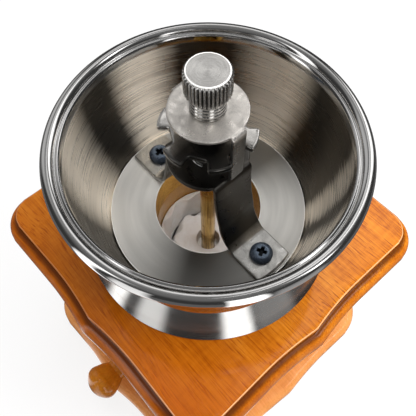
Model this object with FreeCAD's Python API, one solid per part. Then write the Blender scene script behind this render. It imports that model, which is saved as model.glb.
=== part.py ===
import FreeCAD, Part
import math
import os

os.makedirs("parts", exist_ok=True)

# A box coffee mill: a wooden box with a drawer, a spun steel hopper on its top board, and a
# ceramic burr set that hangs under the hopper and turns on a spindle held by a steel bridge.
# Millimetres. The spindle axis is Z, the table is Z = 0, and the drawer opens towards -Y.

V = FreeCAD.Vector
UP = V(0, 0, 1)
ORIGIN = V(0, 0, 0)

# Clearances
slip_gap = 0.3            # between pieces that move past each other
fit_gap = 0.05            # radial, between a shaft or screw and its hole

# Box walls
box_half_x = 57.0
box_half_y = 57.0
wall_thick = 9.0
wall_height = 104.0

# Base board: its sides stand out from the box and swell to a shallow point in the middle
base_side_step = 13.5     # from the box wall to the hollow of the board's edge, sides
base_front_step = 15.0    # the same, front and back
base_thick = 14.0
base_corner_r = 22.0
base_flare = 1.2          # how far the edge has moved out again where it meets the corner
base_side_bow = 1.9       # how far the middle of an edge stands out, sides
base_front_bow = 3.8      # the same, front and back
base_bow_reach = 30.0     # half the length of that bow
base_bow_nose_r = 14.0
base_top_round = 4.6
base_bottom_round = 3.0

# Top board: a bullnosed slab with a thinner raised field on it
board_step = 9.0          # from the box wall to the hollow of the board's edge
board_thick = 14.0
board_corner_r = 14.0
board_flare = 0.8
board_bow = 2.3
board_bow_reach = 25.0
board_bow_nose_r = 10.0
board_top_round = 4.6
board_bottom_round = 3.0
field_height = 4.6        # thickness of the raised field
field_inset = 4.9         # from the slab's edge to the field's edge
field_round = 0.9
board_bore_r = 21.3

# Drawer
drawer_front_height = 47.0
drawer_front_thick = 10.0
drawer_front_proud = 3.0
drawer_front_round = 1.4
drawer_wall = 6.0
drawer_side_height = 40.0
drawer_back_gap = 7.0     # behind the shut drawer
drawer_bottom_thick = 4.0
drawer_side_play = 1.0
drawer_gap = 0.6          # round the front
drawer_floor_gap = 0.4
guide_thick = 6.0
guide_width = 8.0

# Drawer knob: a turned mushroom knob, measured out from the drawer front
knob_length = 24.4
knob_head_r = 9.4
knob_dome_r = 11.0        # radius of the crown
knob_cap_r = 7.3          # where the crown meets the side
knob_neck_r = 5.9
knob_base_r = 7.6
knob_neck_at = 8.6
knob_head_at = 17.4
knob_flare = 0.22         # share of the foot's width left half way up the neck
knob_under_rise = 2.3     # from the neck to the middle of the head's hollow underside
knob_under_dip = 0.4
knob_shoulder_drop = 2.8  # from the widest place down to the end of the underside
knob_shoulder_cut = 0.7
knob_swell = 0.16         # how little the side narrows half way down to the shoulder
knob_brow_cut = 0.55      # and half way up to the crown
knob_height = 38.0        # above the table
knob_screw_r = 1.9
knob_screw_head_r = 3.8
knob_screw_head_h = 2.4
knob_screw_length = 24.0

# Hopper block: the turned wooden ring under the hopper floor
block_edge_step = 2.3     # inside the floor's edge
block_height = 13.1

# Hopper shell, a single spun piece of sheet
sheet = 1.0
rim_r = 55.0              # outermost radius of the rolled bead
bead_r = 2.35
bead_rise = 41.7          # bead centre above the hopper floor's top face
bead_start = 160.0        # degrees round the bead where the groove meets it
neck_drop = 1.76          # from the bead's centre to the neck under it
step_r = 49.9             # groove between bead and inner step
step_rise = 0.95          # top of the inner step above the bead centre
step_round = 0.6
groove_rise = 0.55
mouth_drop = 2.6          # wall's top end below the bead centre
mouth_lip = 0.35
bowl_mouth_r = 48.3       # inner wall below the rim
bowl_foot_r = 39.1        # inner wall at the floor
bowl_belly_share = 0.848  # share of the way out from the foot to the mouth
bowl_belly_rise = 24.0    # above the floor
bowl_low_share = 0.424
bowl_low_rise = 9.0
bowl_foot_lean = 24.0     # degrees that the wall leans out at these places
bowl_low_lean = 20.0
bowl_belly_lean = 11.0
bowl_mouth_lean = 4.0
bowl_low_sag = 0.1        # how far the wall bulges between these places, from the bottom up
bowl_mid_sag = 0.3
bowl_high_sag = 0.32
bowl_flange_width = 15.1  # flange that lies under the floor
foot_r = 51.1
foot_lip = 1.3            # width of the lip on the board
foot_lip_height = 1.6
foot_lip_edge = 0.4       # height of the lip's outermost place
foot_lip_round = 0.35
foot_waist_gap = 0.56     # between the bowl and the foot at the waist
foot_waist_rise = 2.3     # above the floor
foot_cone_width = 6.5     # the straight, lower part of the flare
foot_cone_rise = 8.3
foot_sag = 0.35           # how hollow the part above it is

# Hopper floor
floor_thick = 1.0
floor_play = 0.2          # between its edge and the bowl
floor_edge_round = 0.45
floor_hole_r = 21.0

# Bridge: one strap bent into two legs under a round plate
strap_thick = 1.6
strap_width = 16.6
bridge_rise = 37.0        # top of the plate above the hopper floor
bridge_plate_r = 14.2
leg_top_x = 13.1          # outer face of the leg under the plate
leg_mid_share = 0.31      # share of the way out from the leg's top to the foot
leg_mid_z = 13.8
leg_hollow_share = 0.1    # how far the leg has moved out at this height
leg_hollow_z = 24.0
toe_bend_share = 0.563    # middle of the bend into the foot
toe_bend_z = 5.9
bridge_end_step = 1.1     # from the floor's edge to the foot's end
bridge_screw_inset = 7.8  # from the foot's end to its screw
foot_flat = 6.6           # from the screw to the start of the bend
bridge_bend_r = 2.0

# Bridge screws
bridge_screw_r = 2.1
bridge_screw_length = 24.0
bridge_screw_head_r = 4.4
bridge_screw_head_h = 2.9
bridge_screw_turns = {1: 27.0, -1: 14.0}    # degrees of the cross, right and left
cross_span = 5.2
cross_width = 1.25
cross_depth = 1.7
small_cross = 0.7         # size of the cross in the small screws
cross_root = 0.4          # shares of the slot's width: its root, and the round hole in the middle
cross_middle = 0.75
cross_reach = 0.62        # share of the span at the top of the recess
screw_dome = 1.25         # radius of a head's dome, as a share of the head's radius
screw_point = 2.0         # length of a screw's point, as a share of its radius

# Bearing bush in the bridge
bush_r = 4.6
bush_below = 3.0
bush_above = 6.0
bush_collar_r = 6.0

# Spring round the bush
spring_wire = 1.2
spring_mean_r = 5.9
spring_turns = 4.25
spring_start = -60.0      # degrees

# Spindle
shaft_r = 3.1
thread_r = 2.95
square_side = 5.2
square_length = 7.2
top_thread_r = 2.4
top_thread_length = 9.0
shaft_tail = 5.0          # below the lower bearing
shaft_chamfer = 0.5
square_below = 2.0        # start of the square below the lock plate

# Adjusting wheel
wheel_r = 16.3
wheel_thick = 2.2
wheel_rise = 51.6         # top face above the hopper floor
wheel_lobes = 6
notch_floor_r = 11.9
notch_width = 7.0
notch_mouth = 8.4
notch_corner_r = 1.5
lobe_corner_r = 1.1
wheel_edge_r = 0.35
wheel_hub_r = 5.5
wheel_hub_low_r = 4.4

# Lock plate
lock_rise = 61.2          # top face above the hopper floor
lock_thick = 1.2
lock_r = 12.6
tab_width = 5.8
tab_inner = 12.35
tab_bend_r = 1.6
tab_foot_gap = 1.2        # between a tab's end and the height of the bridge plate
lock_turn = 2.0           # degrees, about the spindle

# Thumb nut and its captive washer
washer_r = 5.7
washer_thick = 1.0
nut_neck_r = 5.55
nut_neck_length = 5.6
nut_head_r = 7.15
nut_head_length = 9.6
nut_face_r = 6.35
nut_face_bevel = 0.35
nut_shoulder = 0.9        # below the face, where the knurl has its full width
nut_taper = 1.6
nut_rings = 4
nut_ring_depth = 0.35
nut_ring_rise = 0.3       # shares of a ring's pitch: start and end of its crest
nut_ring_fall = 0.8
nut_ring_foot = 0.1
nut_counterbore_r = 3.95
nut_counterbore = 7.4
nut_bore_depth = 15.6
knurl_teeth = 36
knurl_depth = 0.5
knurl_land = 0.18         # half the flat top of a tooth, as a share of its pitch

# Burr set
outer_burr_r = 21.0
outer_burr_top = 26.0     # below the hopper floor's top face
outer_burr_height = 24.0
outer_burr_teeth = 10
outer_burr_mouth_r = 19.8
outer_burr_throat_r = 16.9
outer_burr_exit_r = 19.4
outer_burr_waist = 0.42   # share of its height below the toothed funnel
outer_mouth_tooth = 2.0   # depth of its teeth at the top
outer_throat_tooth = 1.1  # and at the bottom of the funnel
outer_exit_height = 2.2
inner_burr_top = 33.5
inner_burr_height = 16.6
inner_burr_teeth = 8
inner_burr_top_r = 15.6
inner_burr_exit_r = 18.6
inner_burr_waist = 0.35   # share of its height below the coarse teeth
inner_burr_waist_taper = 0.62
inner_burr_valley = 2.6
inner_waist_valley = 0.55  # share of that depth left at the waist
inner_exit_height = 1.6
tooth_crest = 0.62        # share of a tooth's pitch that rises
inner_burr_recess_r = 5.3
inner_burr_recess = 8.0
burr_twist = 26.0         # degrees from the top to the middle of a burr

# Burr housing under the top board
housing_wall = 2.2
housing_flange_r = 38.5
housing_flange = 2.0
housing_lip = 1.5
housing_screw_ring_r = 33.8
housing_screw_angles = [30.0, 150.0, 210.0, 330.0]
housing_screw_r = 1.7
housing_screw_length = 11.0
housing_screw_head_r = 3.3
housing_screw_head_h = 2.2

# Lower bearing strap
bearing_strap_width = 11.0
bearing_strap_thick = 2.0
bearing_drop = 34.0       # underside of the strap below the top board
bearing_leg_y = 27.0
bearing_hub_r = 5.5
bearing_hub_h = 5.0

# Nut and washer under the inner burr, and the pin that drives it
burr_washer_r = 6.5
burr_washer_thick = 1.2
burr_nut_flats = 10.0
burr_nut_h = 4.0
drive_pin_r = 1.2
drive_pin_length = 10.0

# Base screws
base_screw_r = 2.0
base_screw_head_r = 4.0
base_screw_head_h = 2.6
base_screw_length = 32.0
base_screw_inset = 36.0
base_screw_cover = 1.0    # depth of the head below the board's underside

# Places worked out from the sizes above
base_half_x = box_half_x + base_side_step
base_half_y = box_half_y + base_front_step
board_half_x = box_half_x + board_step
board_half_y = box_half_y + board_step
bowl_low_r = bowl_foot_r + (bowl_mouth_r - bowl_foot_r) * bowl_low_share
bowl_belly_r = bowl_foot_r + (bowl_mouth_r - bowl_foot_r) * bowl_belly_share
bowl_flange_r = bowl_foot_r - bowl_flange_width
waist_share = (foot_waist_rise + floor_thick) / (bowl_low_rise + floor_thick)
foot_waist_r = bowl_foot_r + (bowl_low_r - bowl_foot_r) * waist_share + sheet * 2 + foot_waist_gap
floor_r = bowl_foot_r - floor_play
block_r = floor_r - block_edge_step
foot_end_r = floor_r - bridge_end_step
bridge_screw_x = foot_end_r - bridge_screw_inset
foot_start_x = bridge_screw_x - foot_flat
leg_run = foot_start_x - leg_top_x
inner_half_x = box_half_x - wall_thick
inner_half_y = box_half_y - wall_thick
wall_bottom = base_thick
board_bottom = wall_bottom + wall_height
board_top = board_bottom + board_thick
block_top = board_top + block_height
floor_bottom = block_top + sheet
floor_top = floor_bottom + floor_thick
bridge_top = floor_top + bridge_rise
wheel_top = floor_top + wheel_rise
wheel_bottom = wheel_top - wheel_thick
lock_top = floor_top + lock_rise
lock_bottom = lock_top - lock_thick
bush_top = bridge_top + bush_above
bush_bottom = bridge_top - strap_thick - bush_below
outer_top = floor_top - outer_burr_top
outer_bottom = outer_top - outer_burr_height
inner_top = floor_top - inner_burr_top
inner_bottom = inner_top - inner_burr_height
strap_low = board_bottom - bearing_drop
base_screw_sink = base_screw_head_h + base_screw_cover
base_screw_x = box_half_x - wall_thick / 2
drawer_top = wall_bottom + drawer_gap + drawer_front_height
front_outer_y = -box_half_y - drawer_front_proud
front_inner_y = front_outer_y + drawer_front_thick
drawer_half_x = inner_half_x - drawer_side_play
drawer_room_half = drawer_half_x - drawer_wall
drawer_front_half = inner_half_x - drawer_gap
drawer_back_y = inner_half_y - drawer_back_gap
drawer_bottom_z = wall_bottom + drawer_floor_gap
screw_seat = floor_top + strap_thick
square_bottom = lock_bottom - square_below
square_top = square_bottom + square_length
top_thread_top = square_top + top_thread_length
recess_floor = inner_top - inner_burr_recess
drive_pin_z = recess_floor - drive_pin_r - fit_gap
strap_screw_angles = [90.0, 270.0]
housing_inner_r = outer_burr_r + fit_gap


def polar(radius, degrees, z=0.0):
    """Point at a radius and an angle about the spindle."""
    a = math.radians(degrees)
    return V(radius * math.cos(a), radius * math.sin(a), z)


def polar_in_section(x, z, radius, degrees):
    """Point of the XZ plane at a radius and an angle about a centre."""
    a = math.radians(degrees)
    return V(x + radius * math.cos(a), 0, z + radius * math.sin(a))


def rod(radius, z0, z1, x=0.0, y=0.0):
    """Upright cylinder between two heights."""
    return Part.makeCylinder(radius, z1 - z0, V(x, y, z0), UP)


def tube(outer, inner, z0, z1):
    """Upright tube about the spindle."""
    return rod(outer, z0, z1).cut(rod(inner, z0 - 1, z1 + 1))


def block(x0, x1, y0, y1, z0, z1):
    """Box between two corners."""
    return Part.makeBox(x1 - x0, y1 - y0, z1 - z0, V(x0, y0, z0))


def line(a, b):
    return Part.LineSegment(a, b).toShape()


def arc(a, middle, b):
    return Part.Arc(a, middle, b).toShape()


def prism(edges, z0, z1):
    """Solid over a closed outline drawn at height z0."""
    return Part.Face(Part.Wire(edges)).extrude(V(0, 0, z1 - z0))


def turned(points):
    """Solid of revolution from a closed profile of (radius, height) corners."""
    corners = [V(r, 0, z) for r, z in points]
    return Part.Face(Part.makePolygon(corners + corners[:1])).revolve(ORIGIN, UP, 360)


def turned_edges(edges):
    """Solid of revolution from a closed profile of edges in the XZ plane."""
    return Part.Face(Part.Wire(edges)).revolve(ORIGIN, UP, 360)


def write(name, shape):
    """Write one piece, or a group of alike pieces, as its own file."""
    shape = shape.removeSplitter() if len(shape.Solids) == 1 else shape
    shape.exportStep("parts/" + name + ".step")
    print("%-20s solids %2d  valid %s  volume %.1f"
          % (name, len(shape.Solids), shape.isValid(), shape.Volume))


def arc_by_sag(a, b, sag):
    """Arc in the XZ plane between two points that bulges by the sag, to the right of the way from a to b."""
    along = (b - a).normalize()
    return arc(a, (a + b) * 0.5 + V(along.z, 0, -along.x) * sag, b)


def bowed_side(start, end, bow, flare, reach):
    """Edges of one side: hollow between its flared ends and a shallow point in the middle."""
    along = (end - start).normalize()
    out = V(along.y, -along.x, 0)
    middle = (start + end) * 0.5 - out * flare
    nose = middle + out * bow
    foot_a = middle - along * reach
    foot_b = middle + along * reach
    sag = bow * 0.25
    hollow_a = middle - along * (reach * 0.5) + out * sag
    hollow_b = middle + along * (reach * 0.5) + out * sag
    return [line(start, foot_a), arc(foot_a, hollow_a, nose), arc(nose, hollow_b, foot_b), line(foot_b, end)]


def bowed_slab(half_x, half_y, corner_r, bows, flare, reach, nose_r, z0, z1):
    """Slab with rounded corners and a shallow rounded point in the middle of each side."""
    x, y = half_x + flare, half_y + flare
    corners = [V(x, -y, z0), V(x, y, z0), V(-x, y, z0), V(-x, -y, z0)]
    edges = []
    for i in range(4):
        edges += bowed_side(corners[i], corners[(i + 1) % 4], bows[i % 2], flare, reach)
    slab = prism(edges, z0, z1)
    upright = [e for e in slab.Edges if abs(e.Vertexes[0].Z - e.Vertexes[-1].Z) > (z1 - z0) * 0.5]
    at_corner = [e for e in upright
                 if abs(e.Vertexes[0].X) > half_x - 0.1 and abs(e.Vertexes[0].Y) > half_y - 0.1]
    slab = slab.makeFillet(corner_r, at_corner)
    upright = [e for e in slab.Edges if abs(e.Vertexes[0].Z - e.Vertexes[-1].Z) > (z1 - z0) * 0.5]
    at_nose = [e for e in upright if abs(e.Vertexes[0].X) < 0.1 or abs(e.Vertexes[0].Y) < 0.1]
    return slab.makeFillet(nose_r, at_nose)


def rim_edges(shape, z):
    """Edges that lie flat at one height."""
    return [e for e in shape.Edges if abs(e.BoundBox.ZMin - z) < 0.001 and abs(e.BoundBox.ZMax - z) < 0.001]


def wood_screw(radius, length, head_r, head_h):
    """Round-headed screw along Z, its head's underside at Z = 0 and its shank below."""
    dome_r = head_r * screw_dome
    point = radius * screw_point
    head = rod(head_r, 0, head_h).common(Part.makeSphere(dome_r, V(0, 0, head_h - dome_r)))
    tip = Part.makeCone(0.0, radius, point, V(0, 0, -length), UP)
    return head.fuse(rod(radius, point - length, 0)).fuse(tip)


def cross_recess(top, span, width, depth):
    """Cutter for a cross slot sunk into a head, narrowing to a point below."""
    high = top + depth
    bars = block(-span / 2, span / 2, -width / 2, width / 2, top - depth, high)
    bars = bars.fuse(block(-width / 2, width / 2, -span / 2, span / 2, top - depth, high))
    cone = Part.makeCone(width * cross_root, span * cross_reach, depth * 2, V(0, 0, top - depth), UP)
    return bars.common(cone).fuse(rod(width * cross_middle, top - depth, high))


def placed(shape, x, y, z, turn=0.0, flip=False):
    """Copy of a shape turned about Z, turned over if wanted, and moved."""
    moved = shape.copy()
    if flip:
        moved.rotate(ORIGIN, V(1, 0, 0), 180)
    moved.rotate(ORIGIN, UP, turn)
    moved.translate(V(x, y, z))
    return moved


# Box

def make_base_board():
    slab = bowed_slab(base_half_x, base_half_y, base_corner_r, (base_side_bow, base_front_bow), base_flare,
                      base_bow_reach, base_bow_nose_r, 0, base_thick)
    slab = slab.makeFillet(base_top_round, rim_edges(slab, base_thick))
    slab = slab.makeFillet(base_bottom_round, rim_edges(slab, 0))
    for x, y in base_screw_places():
        slab = slab.cut(rod(base_screw_r + fit_gap, -1, base_thick + 1, x, y))
        slab = slab.cut(rod(base_screw_head_r + slip_gap, -1, base_screw_sink, x, y))
    return slab


def base_screw_places():
    return [(sx * base_screw_x, sy * base_screw_inset) for sx in (-1, 1) for sy in (-1, 1)]


def make_base_screws():
    screw = wood_screw(base_screw_r, base_screw_length, base_screw_head_r, base_screw_head_h)
    return Part.makeCompound([placed(screw, x, y, base_screw_sink, flip=True)
                              for x, y in base_screw_places()])


def make_side(sign):
    x0, x1 = sorted((sign * inner_half_x, sign * box_half_x))
    side = block(x0, x1, -box_half_y, box_half_y, wall_bottom, board_bottom)
    end = base_screw_sink + base_screw_length + fit_gap
    for x, y in base_screw_places():
        if x * sign > 0:
            side = side.cut(rod(base_screw_r + fit_gap, wall_bottom - 1, end, x, y))
    return side


def make_back_panel():
    return block(-inner_half_x, inner_half_x, inner_half_y, box_half_y, wall_bottom, board_bottom)


def make_front_panel():
    low = drawer_top + drawer_gap
    return block(-inner_half_x, inner_half_x, -box_half_y, -inner_half_y, low, board_bottom)


def make_drawer_guides():
    z0 = wall_bottom + drawer_floor_gap + drawer_side_height + slip_gap
    pieces = []
    for sign in (-1, 1):
        x0, x1 = sorted((sign * inner_half_x, sign * (inner_half_x - guide_width)))
        pieces.append(block(x0, x1, -inner_half_y, inner_half_y, z0, z0 + guide_thick))
    return Part.makeCompound(pieces)


def make_top_board():
    slab_top = board_top - field_height
    bows = (board_bow, board_bow)
    slab = bowed_slab(board_half_x, board_half_y, board_corner_r, bows, board_flare, board_bow_reach,
                      board_bow_nose_r, board_bottom, slab_top)
    slab = slab.makeFillet(board_top_round, rim_edges(slab, slab_top))
    slab = slab.makeFillet(board_bottom_round, rim_edges(slab, board_bottom))
    inset = field_inset
    field = bowed_slab(board_half_x - inset, board_half_y - inset, board_corner_r - inset, bows, board_flare,
                       board_bow_reach, board_bow_nose_r - inset, slab_top - 1, board_top)
    field = field.makeFillet(field_round, rim_edges(field, board_top))
    board = slab.fuse(field).cut(rod(board_bore_r, board_bottom - 1, board_top + 1))
    for cutter in bridge_screw_holes() + housing_screw_holes():
        board = board.cut(cutter)
    return board


# Drawer, shut

def make_drawer_front():
    front = block(-drawer_front_half, drawer_front_half, front_outer_y, front_inner_y,
                  wall_bottom + drawer_gap, drawer_top)
    edges = [e for e in front.Edges if e.BoundBox.YMax < front_outer_y + 0.001]
    front = front.makeFillet(drawer_front_round, edges)
    hole = Part.makeCylinder(knob_screw_r + fit_gap, drawer_front_thick + 2,
                             V(0, front_outer_y - 1, knob_height), V(0, 1, 0))
    return front.cut(hole)


def make_drawer_side(sign):
    x0, x1 = sorted((sign * drawer_half_x, sign * (drawer_half_x - drawer_wall)))
    return block(x0, x1, front_inner_y, drawer_back_y, drawer_bottom_z, drawer_bottom_z + drawer_side_height)


def make_drawer_back():
    return block(-drawer_room_half, drawer_room_half, drawer_back_y - drawer_wall, drawer_back_y,
                 drawer_bottom_z, drawer_bottom_z + drawer_side_height)


def make_drawer_bottom():
    return block(-drawer_room_half, drawer_room_half, front_inner_y, drawer_back_y - drawer_wall,
                 drawer_bottom_z, drawer_bottom_z + drawer_bottom_thick)


def make_drawer_knob():
    """Knob about Z, its foot at Z = 0, then laid along -Y."""
    foot = V(knob_base_r, 0, 0)
    neck = V(knob_neck_r, 0, knob_neck_at)
    flare = V(knob_neck_r + (knob_base_r - knob_neck_r) * knob_flare, 0, knob_neck_at * 0.5)
    under = V((knob_neck_r + knob_head_r) * 0.5 - knob_under_dip, 0, knob_neck_at + knob_under_rise)
    shoulder = V(knob_head_r - knob_shoulder_cut, 0, knob_head_at - knob_shoulder_drop)
    widest = V(knob_head_r, 0, knob_head_at)
    edge = V(knob_head_r - knob_swell, 0, knob_head_at - knob_shoulder_drop * 0.5)
    tip = V(0, 0, knob_length)
    centre_z = knob_length - knob_dome_r
    dome_z = centre_z + math.sqrt(knob_dome_r ** 2 - knob_cap_r ** 2)
    cap = V(knob_cap_r, 0, dome_z)
    crown_z = centre_z + math.sqrt(knob_dome_r ** 2 - knob_cap_r ** 2 / 4)
    crown = V(knob_cap_r / 2, 0, crown_z)
    brow = V(knob_head_r - knob_brow_cut, 0, (dome_z + knob_head_at) * 0.5 + knob_brow_cut * 0.45)
    edges = [
        line(ORIGIN, foot),
        arc(foot, flare, neck),
        arc(neck, under, shoulder),
        arc(shoulder, edge, widest),
        arc(widest, brow, cap),
        arc(cap, crown, tip),
        line(tip, ORIGIN),
    ]
    knob = turned_edges(edges)
    knob = knob.cut(rod(knob_screw_r + fit_gap, -1, knob_screw_length - drawer_front_thick + fit_gap))
    knob.rotate(ORIGIN, V(1, 0, 0), 90)
    knob.translate(V(0, front_outer_y, knob_height))
    return knob


def make_knob_screw():
    screw = wood_screw(knob_screw_r, knob_screw_length, knob_screw_head_r, knob_screw_head_h)
    screw.rotate(ORIGIN, V(1, 0, 0), -90)
    screw.translate(V(0, front_inner_y, knob_height))
    return screw


# Hopper

def make_hopper_block():
    ring = tube(block_r, board_bore_r, board_top, block_top)
    for cutter in bridge_screw_holes():
        ring = ring.cut(cutter)
    return ring


def make_hopper_bowl():
    """Spun shell in section: flange under the floor, curved wall, inner step and rolled bead."""
    bead_x = rim_r - bead_r
    bead_z = floor_top + bead_rise

    def on_bead(degrees):
        return polar_in_section(bead_x, bead_z, bead_r, degrees)

    def outside(point, lean):
        return polar_in_section(point.x, point.z, sheet, -lean)

    flange_in = V(bowl_flange_r, 0, floor_bottom)
    foot_in = V(bowl_foot_r, 0, floor_bottom)
    low = V(bowl_low_r, 0, floor_top + bowl_low_rise)
    belly = V(bowl_belly_r, 0, floor_top + bowl_belly_rise)
    mouth = V(bowl_mouth_r, 0, bead_z - mouth_drop)
    step = V(bowl_mouth_r + mouth_lip, 0, bead_z + step_round * 0.35)
    step_top = V(step_r - step_round, 0, bead_z + step_rise)
    groove = V(step_r + step_round * 0.4, 0, bead_z + groove_rise)
    bead_in = on_bead(bead_start)
    bead_rising = on_bead((bead_start + 90.0) / 2)
    bead_high = on_bead(90.0)
    bead_out = on_bead(0.0)
    bead_low = on_bead(-90.0)
    neck_out = V(bowl_mouth_r + sheet + mouth_lip, 0, bead_z - neck_drop)
    mouth_out = outside(mouth - V(0, 0, sheet), bowl_mouth_lean)
    belly_out = outside(belly, bowl_belly_lean)
    low_out = outside(low, bowl_low_lean)
    foot_out = V(outside(foot_in, bowl_foot_lean).x, 0, floor_bottom - sheet)
    flange_out = V(bowl_flange_r, 0, floor_bottom - sheet)
    edges = [
        line(flange_in, foot_in),
        arc_by_sag(foot_in, low, bowl_low_sag),
        arc_by_sag(low, belly, bowl_mid_sag),
        arc_by_sag(belly, mouth, bowl_high_sag),
        line(mouth, step),
        line(step, step_top),
        line(step_top, groove),
        line(groove, bead_in),
        arc(bead_in, bead_rising, bead_high),
        arc(bead_high, bead_out, bead_low),
        line(bead_low, neck_out),
        line(neck_out, mouth_out),
        arc_by_sag(mouth_out, belly_out, -bowl_high_sag),
        arc_by_sag(belly_out, low_out, -bowl_mid_sag),
        arc_by_sag(low_out, foot_out, -bowl_low_sag),
        line(foot_out, flange_out),
        line(flange_out, flange_in),
    ]
    bowl = turned_edges(edges)
    for cutter in bridge_screw_holes():
        bowl = bowl.cut(cutter)
    return bowl


def make_hopper_foot():
    """Flared ring from the waist under the bowl down to a thin lip on the board."""
    waist_z = floor_top + foot_waist_rise
    top_in = V(foot_waist_r - sheet, 0, waist_z)
    top_out = V(foot_waist_r, 0, waist_z)
    skirt = V(foot_r - foot_lip, 0, board_top + foot_lip_height)
    lip_top = V(foot_r - foot_lip_round, 0, board_top + foot_lip_edge + foot_lip_round)
    lip_edge = V(foot_r, 0, board_top + foot_lip_edge)
    lip_low = V(foot_r - foot_lip_edge * 0.5, 0, board_top)
    lip_in = V(foot_r - foot_lip - sheet, 0, board_top)
    cone_top = skirt + V(-foot_cone_width, 0, foot_cone_rise)
    inward = V(-foot_cone_rise, 0, -foot_cone_width).normalize() * sheet
    skirt_in = skirt + inward
    cone_top_in = cone_top + inward
    edges = [
        line(top_in, top_out),
        arc_by_sag(top_out, cone_top, foot_sag),
        line(cone_top, skirt),
        line(skirt, lip_top),
        line(lip_top, lip_edge),
        line(lip_edge, lip_low),
        line(lip_low, lip_in),
        line(lip_in, skirt_in),
        line(skirt_in, cone_top_in),
        arc_by_sag(cone_top_in, top_in, -foot_sag),
    ]
    return turned_edges(edges)


def make_hopper_floor():
    disc = rod(floor_r, floor_bottom, floor_top)
    disc = disc.cut(rod(floor_hole_r, floor_bottom - 1, floor_top + 1))
    disc = disc.makeFillet(floor_edge_round, rim_edges(disc, floor_top))
    for cutter in bridge_screw_holes():
        disc = disc.cut(cutter)
    return disc


# Bridge

def strap_path():
    """Outer face of the strap on the +X side, from the plate's edge to the foot's end."""
    z = floor_top
    plate = V(leg_top_x - bridge_bend_r, 0, bridge_top)
    bend_cut = bridge_bend_r * (1 - math.sqrt(0.5))
    bend_mid = V(leg_top_x - bend_cut, 0, bridge_top - bend_cut)
    bend_end = V(leg_top_x, 0, bridge_top - bridge_bend_r)
    middle = V(leg_top_x + leg_run * leg_mid_share, 0, z + leg_mid_z)
    hollow = V(leg_top_x + leg_run * leg_hollow_share, 0, z + leg_hollow_z)
    toe_mid = V(leg_top_x + leg_run * toe_bend_share, 0, z + toe_bend_z)
    toe = V(foot_start_x, 0, z + strap_thick)
    return plate, bend_mid, bend_end, hollow, middle, toe_mid, toe


def make_bridge():
    """Round plate and two legs: the strap's section is drawn once and mirrored."""
    z = floor_top
    t = strap_thick
    plate, bend_mid, bend_end, hollow, middle, toe_mid, toe = strap_path()
    inner_bend = V(bend_end.x - t, 0, bend_end.z)
    inner_mid = V(bend_mid.x - t * math.sqrt(0.5), 0, bend_mid.z - t * math.sqrt(0.5))
    inner_plate = V(plate.x, 0, plate.z - t)
    in_middle = V(middle.x - t, 0, middle.z - t * 0.2)
    in_hollow = V(hollow.x - t, 0, hollow.z)
    in_toe_mid = V(toe_mid.x - t * 0.88, 0, toe_mid.z - t * 0.5)
    in_toe = V(toe.x, 0, z)
    end = foot_end_r + 1
    edges = [
        line(V(0, 0, bridge_top), plate),
        arc(plate, bend_mid, bend_end),
        arc(bend_end, hollow, middle),
        arc(middle, toe_mid, toe),
        line(toe, V(end, 0, toe.z)),
        line(V(end, 0, toe.z), V(end, 0, z)),
        line(V(end, 0, z), in_toe),
        arc(in_toe, in_toe_mid, in_middle),
        arc(in_middle, in_hollow, inner_bend),
        arc(inner_bend, inner_mid, inner_plate),
        line(inner_plate, V(0, 0, bridge_top - t)),
        line(V(0, 0, bridge_top - t), V(0, 0, bridge_top)),
    ]
    leg = Part.Face(Part.Wire(edges)).extrude(V(0, strap_width, 0))
    leg.translate(V(0, -strap_width / 2, 0))
    leg = leg.common(rod(foot_end_r, z - 1, bridge_top + 1))
    other = placed(leg, 0, 0, 0, turn=180)
    cap = rod(bridge_plate_r, bridge_top - t, bridge_top)
    cap = cap.cut(block(plate.x, bridge_plate_r + 1, -bridge_plate_r, bridge_plate_r, 0, bridge_top + 1))
    cap = cap.cut(block(-bridge_plate_r - 1, -plate.x, -bridge_plate_r, bridge_plate_r, 0, bridge_top + 1))
    bridge = leg.fuse(other).fuse(cap)
    bridge = bridge.cut(rod(bush_r, bridge_top - t - 1, bridge_top + 1))
    for sign in (-1, 1):
        bridge = bridge.cut(rod(bridge_screw_r + fit_gap, z - 1, z + t + 1, sign * bridge_screw_x))
    return bridge


def bridge_screw_holes():
    low = screw_seat - bridge_screw_length - fit_gap
    return [rod(bridge_screw_r + fit_gap, low, floor_top + 1, s * bridge_screw_x) for s in (-1, 1)]


def make_bridge_screws():
    screw = wood_screw(bridge_screw_r, bridge_screw_length, bridge_screw_head_r, bridge_screw_head_h)
    screw = screw.cut(cross_recess(bridge_screw_head_h, cross_span, cross_width, cross_depth))
    return Part.makeCompound([placed(screw, s * bridge_screw_x, 0, screw_seat, turn=bridge_screw_turns[s])
                              for s in (-1, 1)])


def make_bridge_bush():
    bush = rod(bush_r, bush_bottom, bush_top).fuse(rod(bush_collar_r, bush_bottom, bridge_top - strap_thick))
    return bush.cut(rod(shaft_r + fit_gap, bush_bottom - 1, bush_top + 1))


def make_spring():
    """Compression spring round the bush: one tube on a helix of quarter-turn arcs."""
    wire_r = spring_wire / 2
    low = bridge_top + wire_r + fit_gap
    high = wheel_bottom - slip_gap - wire_r
    quarters = round(spring_turns * 4)
    rise = (high - low) / quarters

    def on_helix(q):
        return polar(spring_mean_r, spring_start + 90.0 * q, low + rise * q)

    edges = [arc(on_helix(q), on_helix(q + 0.5), on_helix(q + 1)) for q in range(quarters)]
    start = on_helix(0)
    ahead = edges[0].tangentAt(edges[0].FirstParameter)
    section = Part.Wire(Part.Circle(start, ahead, wire_r).toShape())
    spring = Part.Wire(edges).makePipeShell([section], True, False)
    centres = [on_helix(q / 8.0) for q in range(quarters * 8 + 1)]
    turn = 32
    gap = min((centres[i] - centres[j]).Length for i in range(len(centres) - turn // 2)
              for j in range(i + turn // 2, len(centres))) - spring_wire
    print("spring: least gap to itself %.2f mm" % gap)
    return spring


# Spindle and what turns with it

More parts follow.
